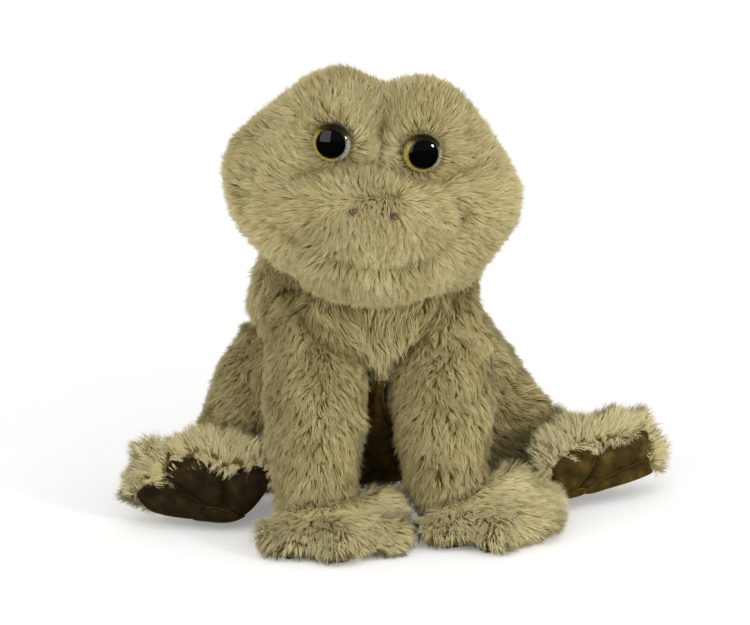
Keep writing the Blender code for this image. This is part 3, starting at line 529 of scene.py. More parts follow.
def clear_of_others(part, places):
    """0 where another form touches this one, rising to 1 where no other is near."""
    share = np.ones(len(places))
    low, high = places.min(axis=0), places.max(axis=0)
    for other, tree in outer_trees.items():
        other_low, other_high = outer_boxes[other]
        if other == part or (other_low > high + NEAR_END).any() or (other_high < low - NEAR_END).any():
            continue
        near_box = ((places > other_low - NEAR_END) & (places < other_high + NEAR_END)).all(axis=1)
        for place in np.flatnonzero(near_box):
            spot = Vector(places[place])
            near, facing, _, distance = tree.find_nearest(spot, NEAR_END)
            if near is None:
                continue
            if (spot - near).dot(facing) < 0:
                distance = 0.0
            share[place] = min(share[place], max(0.0, (distance - NEAR_START) / (NEAR_END - NEAR_START)))
    return share * share * (3 - 2 * share)


NEAR_START = 1.5 * MM
NEAR_END = 8.0 * MM
SEAM_DEPTH_SHARE = 0.25
DEEP_FOLD = 3.0 * MM
SEAM_PILE_SHARE = 0.6
LOWEST_CLOTH = 0.4 * MM
outer_boxes = {part: (places_of(form).min(axis=0), places_of(form).max(axis=0)) for part, form in cloth.items()}
pile_shares = {}
folds = {}
for part, form in cloth.items():
    reach = FIT_REACH.get(part_kind(part), USUAL_FIT_REACH)
    places = fitted(places_of(form), normals_of(form), OUTLINES[part], reach, part_kind(part) == "foot")
    move_places(form, places)
    smooth(form, FIT_SMOOTHING.get(part_kind(part), USUAL_FIT_SMOOTHING))
    places = places_of(form)
    clear = clear_of_others(part, places)
    folds[part] = np.zeros(len(places))
    depth = PILE_HEIGHT[part_kind(part)] * (SEAM_DEPTH_SHARE + (1 - SEAM_DEPTH_SHARE) * clear)
    if part == "head":
        for middle, facing in eyes.values():
            distance = np.linalg.norm(places - np.array(middle), axis=1)
            share = np.clip((EYE_SEAT_RADIUS - distance) / (EYE_SEAT_RADIUS - EYE_RADIUS), 0, 1)
            depth = depth * (1 - share) + EYE_SEAT_DEPTH * share
        creases = FACE_CREASE_PIXELS
    else:
        creases = ARM_CREASE_PIXELS.get(part, ())
    for pixels, deep, width in creases:
        line = seen_points(outer_trees[part], pixels)
        if len(line) > 1:
            nearness = nearness_to(line, places, width)
            depth += deep * nearness
            folds[part] = np.maximum(folds[part], nearness * min(1.0, deep / DEEP_FOLD))
    move_places(form, places - normals_of(form) * depth[:, None])
    smooth(form, 2)
    places = places_of(form)
    if part == "head":
        places = laid_over_washers(places)
    places[:, 2] = np.maximum(places[:, 2], LOWEST_CLOTH)
    move_places(form, places)
    pile_shares[part] = SEAM_PILE_SHARE + (1 - SEAM_PILE_SHARE) * clear
    print(part, "cloth lies", round(float(depth.mean()) / MM, 1), "mm under the outline")

# %% [markdown]
# Each finish is named for the real stuff, or for the painted light it carries. Colours are written as sRGB hex and
# turned to linear light in one place, and one small function adds a node with its settings and links.

# %% Helpers for finishes


def linear(hex_colour):
    """An sRGB hex colour as linear light with an alpha of 1."""
    channels = [int(hex_colour[place : place + 2], 16) / 255 for place in (1, 3, 5)]
    return [c / 12.92 if c <= 0.04045 else ((c + 0.055) / 1.055) ** 2.4 for c in channels] + [1.0]


def add_node(material, kind, links=None, **settings):
    """Adds one node. A setting names a property, or else an input socket by its name with _ for a space."""
    node = material.node_tree.nodes.new(kind)
    for setting, value in settings.items():
        if setting.replace("_", " ") in node.inputs:
            node.inputs[setting.replace("_", " ")].default_value = value
        else:
            setattr(node, setting, value)
    for socket, source in (links or {}).items():
        material.node_tree.links.new(source, node.inputs[socket])
    return node


def new_finish(name, **settings):
    """A material whose shader has these uniform settings."""
    material = bpy.data.materials.new(name)
    material.use_nodes = True
    shader = material.node_tree.nodes["Principled BSDF"]
    for setting, value in settings.items():
        shader.inputs[setting.replace("_", " ")].default_value = value
    return material, shader


def ramp(material, factor, stops):
    node = add_node(material, "ShaderNodeValToRGB", {"Fac": factor})
    while len(node.color_ramp.elements) < len(stops):
        node.color_ramp.elements.new(0.5)
    for element, (place, colour) in zip(node.color_ramp.elements, stops):
        element.position = place
        element.color = linear(colour)
    return node.outputs["Color"]


# %% [markdown]
# The pile is a soft acrylic yarn, sheared long and brushed. Its roots are dark because little light gets
# down to them, and its tips are pale. Each strand carries a strip of a UV map: its height says how far up
# the strand a point is, and its place across says the tone of that strand.

# %% Finishes of the pile and its cloth
pile_finish, shader = new_finish(
    "brushed_acrylic_pile", Roughness=0.62, IOR=1.45, Sheen_Weight=0.25, Sheen_Roughness=0.4
)
shader.inputs["Specular IOR Level"].default_value = 0.25
shader.inputs["Sheen Tint"].default_value = linear("#e9dfb4")
strand_map = add_node(pile_finish, "ShaderNodeUVMap", uv_map="OFBake")
split = add_node(pile_finish, "ShaderNodeSeparateXYZ", {"Vector": strand_map.outputs["UV"]})
up_strand = ramp(
    pile_finish,
    split.outputs["Y"],
    [(0.0, "#5f532d"), (0.28, "#a69968"), (0.58, "#d9cc98"), (1.0, "#faf0ca")],
)
tone = ramp(pile_finish, split.outputs["X"], [(0.0, "#a69d82"), (0.5, "#dbd4bc"), (1.0, "#fffdf0")])
blend = add_node(pile_finish, "ShaderNodeMix", data_type="RGBA", blend_type="MULTIPLY")
blend.inputs[0].default_value = 1.0
pile_finish.node_tree.links.new(up_strand, blend.inputs[6])
pile_finish.node_tree.links.new(tone, blend.inputs[7])
pile_finish.node_tree.links.new(blend.outputs[2], shader.inputs["Base Color"])

cloth_finish, shader = new_finish("knitted_backing_cloth", Roughness=0.95, IOR=1.45)
KNIT_SIZE = 2.5 * MM
where = add_node(cloth_finish, "ShaderNodeTexCoord").outputs["Object"]
knit = add_node(cloth_finish, "ShaderNodeTexNoise", {"Vector": where}, Scale=1 / KNIT_SIZE, Detail=4.0)
shade = ramp(cloth_finish, knit.outputs["Fac"], [(0.3, "#7d7144"), (0.7, "#a09460")])
cloth_finish.node_tree.links.new(shade, shader.inputs["Base Color"])

# %% [markdown]
# Velvet is cut so short that it has no strands to see. It looks darkest straight on and glows golden
# brown at a glancing angle, which is the shader's sheen. Faint clouds show where it was stroked.

# %% Finish of the velvet
VELVET_CLOUD = 7.0 * MM
VELVET_NAP = 0.6 * MM


def velvet(name, sheen_tint, cloud_stops, sheen=1.0):
    finish, shader = new_finish(name, Roughness=0.85, IOR=1.45, Sheen_Weight=sheen, Sheen_Roughness=0.28)
    shader.inputs["Specular IOR Level"].default_value = 0.1
    shader.inputs["Sheen Tint"].default_value = linear(sheen_tint)
    where = add_node(finish, "ShaderNodeTexCoord").outputs["Object"]
    clouds = add_node(finish, "ShaderNodeTexNoise", {"Vector": where}, Scale=1 / VELVET_CLOUD, Detail=5.0)
    finish.node_tree.links.new(ramp(finish, clouds.outputs["Fac"], cloud_stops), shader.inputs["Base Color"])
    nap = add_node(finish, "ShaderNodeTexNoise", {"Vector": where}, Scale=1 / VELVET_NAP, Detail=3.0)
    bump = add_node(finish, "ShaderNodeBump", {"Height": nap.outputs["Fac"]}, Strength=0.25, Distance=0.2 * MM)
    finish.node_tree.links.new(bump.outputs["Normal"], shader.inputs["Normal"])
    return finish


DARK_CLOUDS = [(0.32, "#1b1509"), (0.55, "#2a210f"), (0.75, "#3e3116")]
PAINTED_LIT_CLOUDS = [(0.32, "#32270f"), (0.55, "#493a18"), (0.75, "#6a5526")]
velvet_finish = velvet("dark_short_velvet", "#c69a3e", DARK_CLOUDS)
# The weight on the hands presses the nap of the palms flat, so they shine less from the side
pressed_velvet_finish = velvet("pressed_dark_velvet", "#7c6230", DARK_CLOUDS, sheen=0.3)
# A lit copy of the same velvet, painted paler and with a brighter sheen tint as painted light, on the frog's left sole
# and the belly
painted_lit_velvet_finish = velvet("painted_lit_short_velvet", "#e0b85c", PAINTED_LIT_CLOUDS)
velvets = (velvet_finish, pressed_velvet_finish, painted_lit_velvet_finish)
print("finishes:", [finish.name for finish in (pile_finish, cloth_finish, *velvets)])

# %% [markdown]
# Pile is thousands of strands, and hair curves would not leave Blender as a mesh. So each strand is a
# closed sliver of six faces: a root in the cloth, three points at its bend and one tip. Strands of real
# pile cling together in locks, so each follows the nearest lock's turn, length and tip.

# %% How a strand grows
HIDDEN_REACH = 3.5 * MM
HIDDEN_SHARE = 0.15
STRAND_RADIUS = 0.21 * MM
STRANDS_IN_LOCK = 10
PILE_LEAN = 0.92
ROUNDNESS = 0.55
ROOT_SHADE = {"head": 0.32, "body": 0.12, "arm": 0.09, "hand": 0.34, "leg": 0.12, "foot": 0.46}
# How dark or pale the locks of each part are, at random within a range. The ranges hold painted light and shade: the
# limbs are painted darker and the hands and feet paler, for how brightly each part is lit
TONES_WITH_PAINTED_LIGHT = {
    "head": (0.42, 0.82), "body": (0.60, 0.95), "arm": (0.30, 0.70),
    "hand": (0.68, 0.98), "leg": (0.38, 0.82), "foot": (0.84, 0.98),
}
BEND_SHARE = 0.42
# Painted shade: under the chin the pile is painted darker
CHIN_PAINTED_SHADE = 0.30
CHEST_APEX = seen_points(outer_trees["body"], [(375, 380)])[0]
TONE_STRIP = 0.003


def ripple(places, size, seed):
    """Smooth waves through space, from about -1 to 1, with hollows and crests a size apart."""
    waves = np.random.default_rng(seed)
    total = np.zeros(len(places))
    for _ in range(5):
        direction = waves.normal(size=3)
        direction /= np.linalg.norm(direction)
        total += np.sin(places @ direction * (2 * math.pi / size) * waves.uniform(0.7, 1.4) + waves.uniform(0, 6.3))
    return total / 2.6


def unit(vectors):
    return vectors / np.maximum(np.linalg.norm(vectors, axis=1), 1e-9)[:, None]


def flat_to(normals, vectors):
    """The share of each vector that lies along the surface."""
    return unit(vectors - (vectors * normals).sum(axis=1)[:, None] * normals)


def inside_loop(pixels, loop):
    """Which of these pixels lie inside a closed line."""
    inside = np.zeros(len(pixels), bool)
    for (x0, y0), (x1, y1) in zip(loop, loop[1:] + loop[:1]):
        crosses = (pixels[:, 1] < y0) != (pixels[:, 1] < y1)
        met = x0 + (pixels[:, 1] - y0) * (x1 - x0) / ((y1 - y0) or 1)
        inside ^= crosses & (pixels[:, 0] < met)
    return inside


def face_weights(part, form, wanted):
    """Each triangle's area, less where a neighbour hides it or the pile isn't wanted."""
    mesh = form.data
    mesh.calc_loop_triangles()
    corners = np.empty(len(mesh.loop_triangles) * 3, np.int64)
    mesh.loop_triangles.foreach_get("vertices", corners)
    corners = corners.reshape(-1, 3)
    places = places_of(form)
    sides = places[corners]
    area = np.linalg.norm(np.cross(sides[:, 1] - sides[:, 0], sides[:, 2] - sides[:, 0]), axis=1) / 2
    middles = sides.mean(axis=1)
    normals = unit(np.cross(sides[:, 1] - sides[:, 0], sides[:, 2] - sides[:, 0]))
    for other, tree in outer_trees.items():
        other_low, other_high = outer_boxes[other]
        spots = middles + normals * HIDDEN_REACH
        near_box = ((spots > other_low) & (spots < other_high)).all(axis=1)
        for place in np.flatnonzero(near_box) if other != part else ():
            spot = Vector(spots[place])
            near, facing, _, distance = tree.find_nearest(spot)
            if (spot - near).dot(facing) < 0:
                area[place] *= HIDDEN_SHARE
    return corners, area * wanted(middles, normals)


def grow_pile(name, part, form, count, length, comb, wanted, seed):
    """Strands over one form. comb gives each root the way its pile is brushed and a share of the full length."""
    dice = np.random.default_rng(seed)
    corners, weight = face_weights(part, form, wanted)
    steps = (np.arange(count) + dice.random(count)) / count * weight.sum()
    chosen = corners[np.minimum(np.searchsorted(np.cumsum(weight), steps), len(corners) - 1)]
    mix = dice.dirichlet((1, 1, 1), count)[:, :, None]
    roots = (places_of(form)[chosen] * mix).sum(axis=1)
    normals = unit((normals_of(form)[chosen] * mix).sum(axis=1))
    flow, share, laid = comb(roots, normals)
    folded = (folds[part][chosen] * mix[:, :, 0]).sum(axis=1)
    share = share * (pile_shares[part][chosen] * mix[:, :, 0]).sum(axis=1) * (1 - 0.25 * folded)

    chest = np.zeros(count)
    if part_kind(part) in ("arm", "body"):
        chest = np.where(inside_loop(seen_pixels(roots)[0], CHEST_PIXELS) & (normals[:, 1] < 0.4), 1.0, 0.0)
        to_apex = unit(CHEST_APEX - roots) + (0, 0, -0.6)
        flow = flat_to(normals, flow * (1 - chest)[:, None] + to_apex * chest[:, None])
        share = share * (1 + 0.12 * chest)

    # Swirls turn the brushing a little, slowly over the form and quickly from lock to lock
    locks = dice.choice(count, count // STRANDS_IN_LOCK, replace=False)
    tree = KDTree(len(locks))
    for place, lock in enumerate(locks):
        tree.insert(roots[lock], place)
    tree.balance()
    mine = np.array([tree.find(root)[1] for root in roots])
    lock_turn = dice.normal(0, 0.22, len(locks))
    lock_lean = dice.normal(0, 0.12, len(locks))
    lock_length = dice.uniform(0.86, 1.10, len(locks))
    low_tone, high_tone = TONES_WITH_PAINTED_LIGHT[part_kind(part)]
    lock_tone = dice.uniform(low_tone, high_tone, len(locks))
    turn = 0.34 * ripple(roots, 24 * MM, seed + 1) + lock_turn[mine] + dice.normal(0, 0.16, count)
    across = np.cross(normals, flow)
    flow = flow * np.cos(turn)[:, None] + across * np.sin(turn)[:, None]
    lean = PILE_LEAN * laid + 0.12 * ripple(roots, 17 * MM, seed + 2) + lock_lean[mine] + dice.normal(0, 0.10, count)
    full = length * share * lock_length[mine] * dice.uniform(0.80, 1.10, count)

    low = np.clip(lean * 0.50, 0.1, 1.1)
    high = np.clip(lean * 1.18, 0.2, 1.45)
    rise = normals * np.cos(low)[:, None] + flow * np.sin(low)[:, None]
    reach = normals * np.cos(high)[:, None] + flow * np.sin(high)[:, None]
    bends = roots + rise * (full * BEND_SHARE)[:, None]
    tips = bends + reach * (full * (1 - BEND_SHARE))[:, None]

    # The tips of a lock lean together
    lead = locks[mine]
    cling = dice.uniform(0.12, 0.45, count)[:, None]
    tips = tips * (1 - cling) + tips[lead] * cling
    bends = bends * (1 - cling * 0.4) + bends[lead] * cling * 0.4

    thick = STRAND_RADIUS * dice.uniform(0.75, 1.2, count) * np.clip(share, 0.6, 1)
    side = unit(np.cross(tips - roots, normals + dice.normal(0, 0.1, (count, 3))))
    front = unit(np.cross(tips - roots, side))
    places = np.empty((count, 5, 3))
    places[:, 0] = roots - normals * 0.6 * MM
    places[:, 4] = tips
    for corner in range(3):
        angle = 2 * math.pi * corner / 3
        places[:, 1 + corner] = bends + (side * math.cos(angle) + front * math.sin(angle)) * thick[:, None]
    places[:, :, 2] = np.maximum(places[:, :, 2], 0.3 * MM)
    # Painted shade: the pile's tone is darker under the chin and along the creases of the cloth
    shaded = CHIN_PAINTED_SHADE * chest * np.clip((roots[:, 2] - 0.088) / 0.02, 0, 1)
    tones = lock_tone[mine] + 0.14 * chest * (part_kind(part) == "arm") - shaded - 0.35 * folded + 0.10 * ripple(roots, 30 * MM, seed + 3)
    tones = np.clip(tones + dice.uniform(-0.14, 0.14, count), 0.02, 0.98)
    stray = dice.random(count) < 0.004
    tones[stray] = dice.uniform(0.02, 0.98, stray.sum())
    radial = unit((places[:, 1:4] - bends[:, None]).reshape(-1, 3)).reshape(-1, 3, 3)
    shading = np.repeat(normals[:, None], 5, axis=1)
    shading[:, 1:4] += ROUNDNESS * radial
    return strands_piece(name, places, unit(shading.reshape(-1, 3)), tones, ROOT_SHADE[part_kind(part)])


def strands_piece(name, places, shading, tones, root_shade):
    """The mesh of many strands: five points and six faces each, with the strip of its tone as UV map.

    Fine pile shades like the soft form it stands on, so its normals are mostly those of the cloth."""
    count = len(places)
    one = np.array([(0, 2, 1), (0, 3, 2), (0, 1, 3), (4, 1, 2), (4, 2, 3), (4, 3, 1)])
    faces = (one[None] + 5 * np.arange(count)[:, None, None]).reshape(-1, 3)
    mesh = bpy.data.meshes.new(name)
    mesh.vertices.add(count * 5)
    mesh.vertices.foreach_set("co", places.ravel())
    mesh.loops.add(len(faces) * 3)
    mesh.loops.foreach_set("vertex_index", faces.ravel())
    mesh.polygons.add(len(faces))
    mesh.polygons.foreach_set("loop_start", np.arange(len(faces)) * 3)
    mesh.update(calc_edges=True)
    mesh.shade_smooth()
    mesh.normals_split_custom_set_from_vertices(shading)
    map_places = np.empty((count, 5, 2))
    map_places[:, :, 0] = tones[:, None] + np.array([0, -TONE_STRIP, TONE_STRIP, 0, 0])
    bend = root_shade + (1 - root_shade) * BEND_SHARE
    map_places[:, :, 1] = [root_shade, bend, bend, bend - TONE_STRIP, 0.98]
    layer = mesh.uv_layers.new(name="OFBake")
    layer.data.foreach_set("uv", map_places.reshape(-1, 2)[faces.ravel()].astype(np.float32).ravel())
    piece = linked(name, mesh)
    piece.data.materials.append(pile_finish)
    return piece


# %% [markdown]
# The way the pile is brushed makes the toy's character. On the head it springs from the muzzle and runs
# back on all sides, and parts round the eyes. On the limbs it runs down towards the feet and parts along
# the front, and on the feet it fans out past the edge.

# %% How the pile is brushed
MUZZLE_LINE_HALF = 13.0 * MM



def everywhere(middles, normals):
    return np.where(middles[:, 2] < 1.5 * MM, 0.05, 1.0)


def brushed_head(roots, normals):
    """Out from a short line across the muzzle, and away from each eye. It stands up on that line."""
    half = Vector((MUZZLE_LINE_HALF, 0.0, 0.0))
    rise = Vector((0.0, 0.006, 0.007))
    start, end = np.array(muzzle - half + rise), np.array(muzzle + half + rise)
    along = end - start
    place = np.clip(((roots - start) @ along) / (along @ along), 0, 1)
    flow = roots - start - place[:, None] * along
    distance = np.linalg.norm(flow, axis=1)
    near_muzzle = np.exp(-((distance / (13 * MM)) ** 2))
    share = 1 - 0.22 * near_muzzle
    laid = 1 - 0.30 * near_muzzle
    flow = unit(flow)
    for middle, facing in eyes.values():
        away_from_eye = roots - np.array(middle)
        distance = np.linalg.norm(away_from_eye, axis=1)
        pull = np.exp(-((distance / (15 * MM)) ** 2))[:, None]
        flow = flow * (1 - pull) + unit(away_from_eye) * pull * 1.3
        share *= np.where(distance < EYE_RADIUS + 0.5 * MM, 0.12, 1 - 0.42 * np.exp(-((distance / (14.5 * MM)) ** 4)))
    for middle in nostrils.values():
        distance = np.linalg.norm(roots - np.array(middle), axis=1)
        share *= 1 - 0.8 * np.exp(-((distance / (3.4 * MM)) ** 2))
    return flat_to(normals, flow), share, laid


def brushed_body(roots, normals):
    """Down, and apart on the chest, where the pile is longest and covers the tops of the arm seams."""
    flow = np.tile((0.0, -0.1, -1.0), (len(roots), 1))
    chest = np.clip((roots[:, 2] - 0.070) / 0.02, 0, 1) * np.clip((-roots[:, 1] - 0.020) / 0.02, 0, 1)
    flow[:, 0] += roots[:, 0] * (6 + 40 * chest)
    return flat_to(normals, flow), 1 + 0.25 * chest, np.ones(len(roots))


def brushed_limb(start, end, spread, end_share=1.0):
    """Down the limb, and away from the line along its front. The last of it is longer by the end share."""
    start = np.array(start)
    along = np.array(end) - start
    reach = np.linalg.norm(along)
    along /= reach

    def comb(roots, normals):
        offset = roots - start
        down = offset @ along
        offset = offset - down[:, None] * along
        flow = along + unit(offset) * (1, 0.2, 0.2) * spread
        share = 1 + (end_share - 1) * np.clip((down / reach - 0.72) / 0.28, 0, 1)
        return flat_to(normals, flow), share, np.ones(len(roots))

    return comb


def brushed_from(start, lift=0.0):
    """Fanning out from one spot."""
    start = np.array(start)

    def comb(roots, normals):
        flow = unit(roots - start) + np.array((0.0, 0.0, lift))
        return flat_to(normals, flow), np.ones(len(roots)), np.ones(len(roots))

    return comb


# %% Grow the pile
PILE_LENGTH = {"head": 9.5 * MM, "body": 10.5 * MM, "arm": 9.8 * MM, "hand": 10.5 * MM, "leg": 10.0 * MM, "foot": 11.5 * MM}
STRANDS = {"arm": 32000, "hand": 18000, "leg": 23500, "foot": 18000}
FACE_DEPTH = 14.0 * MM
quick_share = 1.0


def head_region(front, side=None, upper=None):
    """A region of the head, so that each piece of its pile stays light to handle."""

    def wanted(middles, normals):
        split = head_middle.y - FACE_DEPTH
        keep = middles[:, 1] < split if front else middles[:, 1] >= split
        if side is not None:
            keep &= (middles[:, 0] - head_middle.x) * side > 0
        if upper is not None:
            keep &= (middles[:, 2] >= head_middle.z) == upper
        near_muzzle = np.exp(-((np.linalg.norm(middles - np.array(muzzle), axis=1) / (20 * MM)) ** 2))
        return np.where(keep, 1.0 + 0.9 * near_muzzle, 0.0)

    return wanted


def off_the_sole(side):
    """Not behind the velvet sole and not under its lower edge."""
    facing = soles[side][2]

    def wanted(middles, normals):
        keep = everywhere(middles, normals)
        pixels = seen_pixels(middles)[0]
        turned = normals @ facing
        keep[inside_loop(pixels, SOLE_BACKING_PIXELS[side]) & (turned > 0.4)] = 0.0
        low_edge = pixels + (0, -13)
        keep[inside_loop(low_edge, SOLE_BACKING_PIXELS[side]) & (turned > -0.3) & (normals[:, 2] < 0.4)] = 0.0
        return keep

    return wanted


def brushed_foot(side):
    """Out over the rim of the foot. A few locks beside the sole hang over its edge instead."""
    _, sole_middle, facing = soles[side]

    def comb(roots, normals):
        outwards = roots - sole_middle
        outwards = unit(outwards - (outwards @ facing)[:, None] * facing)
        pixels = seen_pixels(roots)[0]
        beside = inside_loop(pixels + (0, 9), SOLE_BACKING_PIXELS[side]) & (normals @ facing > 0.3)
        hanging = beside & (ripple(roots, 7 * MM, 5) > -0.1)
        flow = np.where(hanging[:, None], facing * 0.5 - outwards, outwards + facing * 0.1)
        return flat_to(normals, flow), np.where(hanging, 1.15, 1.0), np.where(hanging, 0.60, 0.85)

    return comb


def chest_and_back(middles, normals):
    panel_low, panel_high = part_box("belly_panel")
    keep = everywhere(middles, normals)
    front = middles[:, 1] < -0.008
    inside = (np.abs(middles[:, 0]) < panel_high.x) & (middles[:, 2] < panel_high.z)
    keep[front & inside] = 0.0
    return keep


# %% [markdown]
# Each hind sole is made of four padded lobes of velvet: three toes that fan out, and a heel. The photograph
# shows their seams clearly, so each lobe's edge is traced by looking through the camera onto the plane of
# the sole. A lobe is rings of that edge drawn in towards its middle and raised like a cushion.

# %% Velvet soles
SOLE_LOBE_PIXELS = {
    "right": (
        [
            (167, 481), (166, 468), (173, 460), (187, 457), (201, 459), (215, 464), (224, 472), (224, 488),
            (223, 504), (217, 509), (207, 506), (192, 496), (178, 486),
        ],
        [
            (223, 478), (228, 471), (240, 468), (258, 466), (268, 471), (270, 479), (267, 489), (260, 500),
            (250, 511), (240, 517), (231, 511), (225, 500), (222, 489),
        ],
        [
            (137, 497), (140, 489), (150, 484), (168, 484), (180, 489), (193, 498), (207, 508), (204, 516),
            (195, 519), (180, 518), (163, 515), (149, 510),
        ],
        [(192, 519), (203, 509), (214, 507), (228, 511), (240, 516), (246, 516), (236, 521), (224, 523), (208, 522)],
    ),
    "left": (
        [
            (553, 468), (554, 486), (560, 497), (567, 496), (578, 486), (589, 472), (595, 460), (598, 447),
            (590, 442), (578, 446), (566, 455),
        ],
        [
            (597, 445), (595, 461), (588, 476), (578, 489), (586, 489), (599, 481), (617, 472), (633, 465),
            (645, 459), (648, 449), (648, 434), (642, 430), (630, 438), (612, 443),
        ],
        [
            (577, 492), (588, 487), (601, 480), (618, 471), (634, 464), (647, 460), (650, 468), (653, 472),
            (644, 477), (628, 483), (608, 489), (590, 494),
        ],
        [(560, 499), (568, 494), (578, 489), (586, 489), (584, 494), (574, 498)],
    ),
}
SOLE_BACKING_PIXELS = {
    "right": [
        (141, 493), (151, 487), (166, 484), (168, 466), (175, 461), (201, 462), (215, 467), (230, 473), (257, 469),
        (266, 474), (267, 482), (257, 500), (247, 512), (237, 518), (195, 517), (160, 512), (146, 504),
    ],
    "left": [
        (556, 470), (568, 458), (590, 445), (612, 446), (640, 434), (646, 439), (647, 455), (650, 470), (628, 480),
        (590, 490), (565, 496), (558, 486),
    ],
}
LOBE_DEPTH = 4.6 * MM
LOBE_BACK = 4.0 * MM
BACKING_DEPTH = 1.2 * MM

soles = {}
for side in SIDES:
    middle, facing, front = plane_of(f"foot_sole_{side}")
    plane_point = middle + facing * (front - LOBE_DEPTH + 1.0 * MM)
    lobes = [cushion("sole_backing", SOLE_BACKING_PIXELS[side], plane_point, facing, BACKING_DEPTH, LOBE_BACK)]
    for number, pixels in enumerate(SOLE_LOBE_PIXELS[side]):
        lobes.append(cushion(f"sole_lobe_{number}", pixels, plane_point, facing, LOBE_DEPTH, LOBE_BACK))
    select_only(*lobes)
    bpy.ops.object.join()
    sole = lobes[0]
    sole.name = f"velvet_sole_{side}"
    sole.data.shade_smooth()
    # The frog's left sole gets the lit copy of the velvet: its paler colour is painted light
    sole.data.materials.append(painted_lit_velvet_finish if side == "left" else velvet_finish)
    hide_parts(f"foot_sole_{side}")
    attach(sole, f"foot_{side}")
    soles[side] = (sole, places_of(sole).mean(axis=0), facing)
    print(sole.name, "middle", (soles[side][1] / MM).round(1), "faces", (facing).round(2))

# %% [markdown]
# The palms lie under the hands and the belly panel shows between the arms. Both are seen in shadow only,
# so the solid of the frame is wrapped and softened, and the palm is drawn in under the pile.

# %% Velvet palms and belly
PALM_VOXEL = 1.3 * MM
PALM_SHARE = 0.88
for side in SIDES:
    palm = wrapped(f"velvet_palm_{side}", [f"hand_palm_{side}"], PALM_VOXEL, 3)
    places = places_of(palm)
    middle = places.mean(axis=0)
    places = middle + (places - middle) * (PALM_SHARE, PALM_SHARE, 1.0)
    places[:, 2] = np.maximum(places[:, 2], 0.2 * MM)
    move_places(palm, places)
    palm.data.materials.append(pressed_velvet_finish)
    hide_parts(f"hand_palm_{side}")
    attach(palm, f"hand_{side}")

belly = wrapped("velvet_belly", ["belly_panel"], 2.0 * MM, 4)
# The belly gets the lit copy of the velvet: its paler colour is painted light in the shade between the arms
belly.data.materials.append(painted_lit_velvet_finish)
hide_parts("belly_panel")
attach(belly, "body")
print("palms and belly laid")

# %% Pile on every form
growing = []
for side, sign in SIDES.items():
    growing.append((f"face_pile_{side}", "head", 26000, brushed_head, head_region(True, side=sign)))
growing.append(("crown_pile", "head", 25500, brushed_head, head_region(False, upper=True)))
growing.append(("nape_pile", "head", 12000, brushed_head, head_region(False, upper=False)))
growing.append(("body_pile", "body", 32000, brushed_body, chest_and_back))
for side in SIDES:
    hip = joint_place(f"hip_{side}")
    ankle = joint_place(f"ankle_{side}")
    shoulder = joint_place(f"shoulder_{side}")
    wrist = joint_place(f"wrist_{side}")
    growing.append((f"arm_pile_{side}", f"arm_{side}", STRANDS["arm"], brushed_limb(shoulder, wrist, 0.4, 1.25), everywhere))
    growing.append((f"hand_pile_{side}", f"hand_{side}", STRANDS["hand"], brushed_from(wrist, -0.35), everywhere))
    growing.append((f"leg_pile_{side}", f"leg_{side}", STRANDS["leg"], brushed_limb(hip, ankle, 0.3), everywhere))
    growing.append((f"foot_pile_{side}", f"foot_{side}", STRANDS["foot"], brushed_foot(side), off_the_sole(side)))

for seed, (name, part, count, comb, wanted) in enumerate(growing):
    kind = part_kind(part)
    pile = grow_pile(name, part, cloth[part], int(count * quick_share), PILE_LENGTH[kind], comb, wanted, 100 + 10 * seed)
    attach(pile, part)
    print(name, len(pile.data.polygons), "faces")

for part, form in cloth.items():
    form.data.materials.append(cloth_finish)
    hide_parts(*[node for node in body_nodes[part] if "skin" in node or "stuffing" in node])
    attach(form, part)

neck = wrapped("neck_cloth", ["neck_stuffing"], 2.0 * MM, 3)
neck.data.materials.append(cloth_finish)
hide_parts("neck_stuffing")
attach(neck, "neck")

# %% [markdown]
# A toy eye is a clear dome moulded over a gold painted ring and a black pupil. Real glass over paint turns
# grey in a small render, so the dome's own surface carries the paint, under a thick clear coat that mirrors
# the lamps. The paint is drawn on a UV map of the eye that is measured from its middle, and its ring also carries a
# painted reflection and a painted shadow.

# %% Finish of the eye
PUPIL_SHARE = 0.76
GOLD_SHARE = 0.93
# The ring is gold on the left. A painted reflection pales it to the right, and a painted shadow of the pile darkens it
# at the top
RING_GOLD_AND_PAINTED_LIGHT = (
    ((1.0, -0.30, 0.0), [(0.12, "#c2b056"), (0.28, "#9a9472"), (0.42, "#b0b0a6")]),
    ((0.20, 1.0, 0.0), [(0.14, "#ffffff"), (0.32, "#6f6957"), (0.44, "#2b281f")]),
)
eye_finish, shader = new_finish("clear_coated_eye_paint", Roughness=0.35, IOR=1.5, Coat_Weight=1.0, Coat_Roughness=0.02)
shader.inputs["Coat IOR"].default_value = 1.49
shader.inputs["Specular IOR Level"].default_value = 0.0
eye_map = add_node(eye_finish, "ShaderNodeUVMap", uv_map="eye")
centred = add_node(eye_finish, "ShaderNodeVectorMath", {0: eye_map.outputs["UV"]}, operation="SUBTRACT")
centred.inputs[1].default_value = (0.5, 0.5, 0.0)
radius = add_node(eye_finish, "ShaderNodeVectorMath", {0: centred.outputs[0]}, operation="LENGTH")
stops = [
    (0.0, "#020202"),
    (PUPIL_SHARE / 2 - 0.014, "#030303"),
    (PUPIL_SHARE / 2 + 0.002, "#4a4a4a"),
    (PUPIL_SHARE / 2 + 0.016, "#c8c8c8"),
    (GOLD_SHARE / 2, "#ffffff"),
    (0.49, "#e0e0d8"),
]
paint = ramp(eye_finish, radius.outputs["Value"], stops)
ring_reflection_and_shadow = None
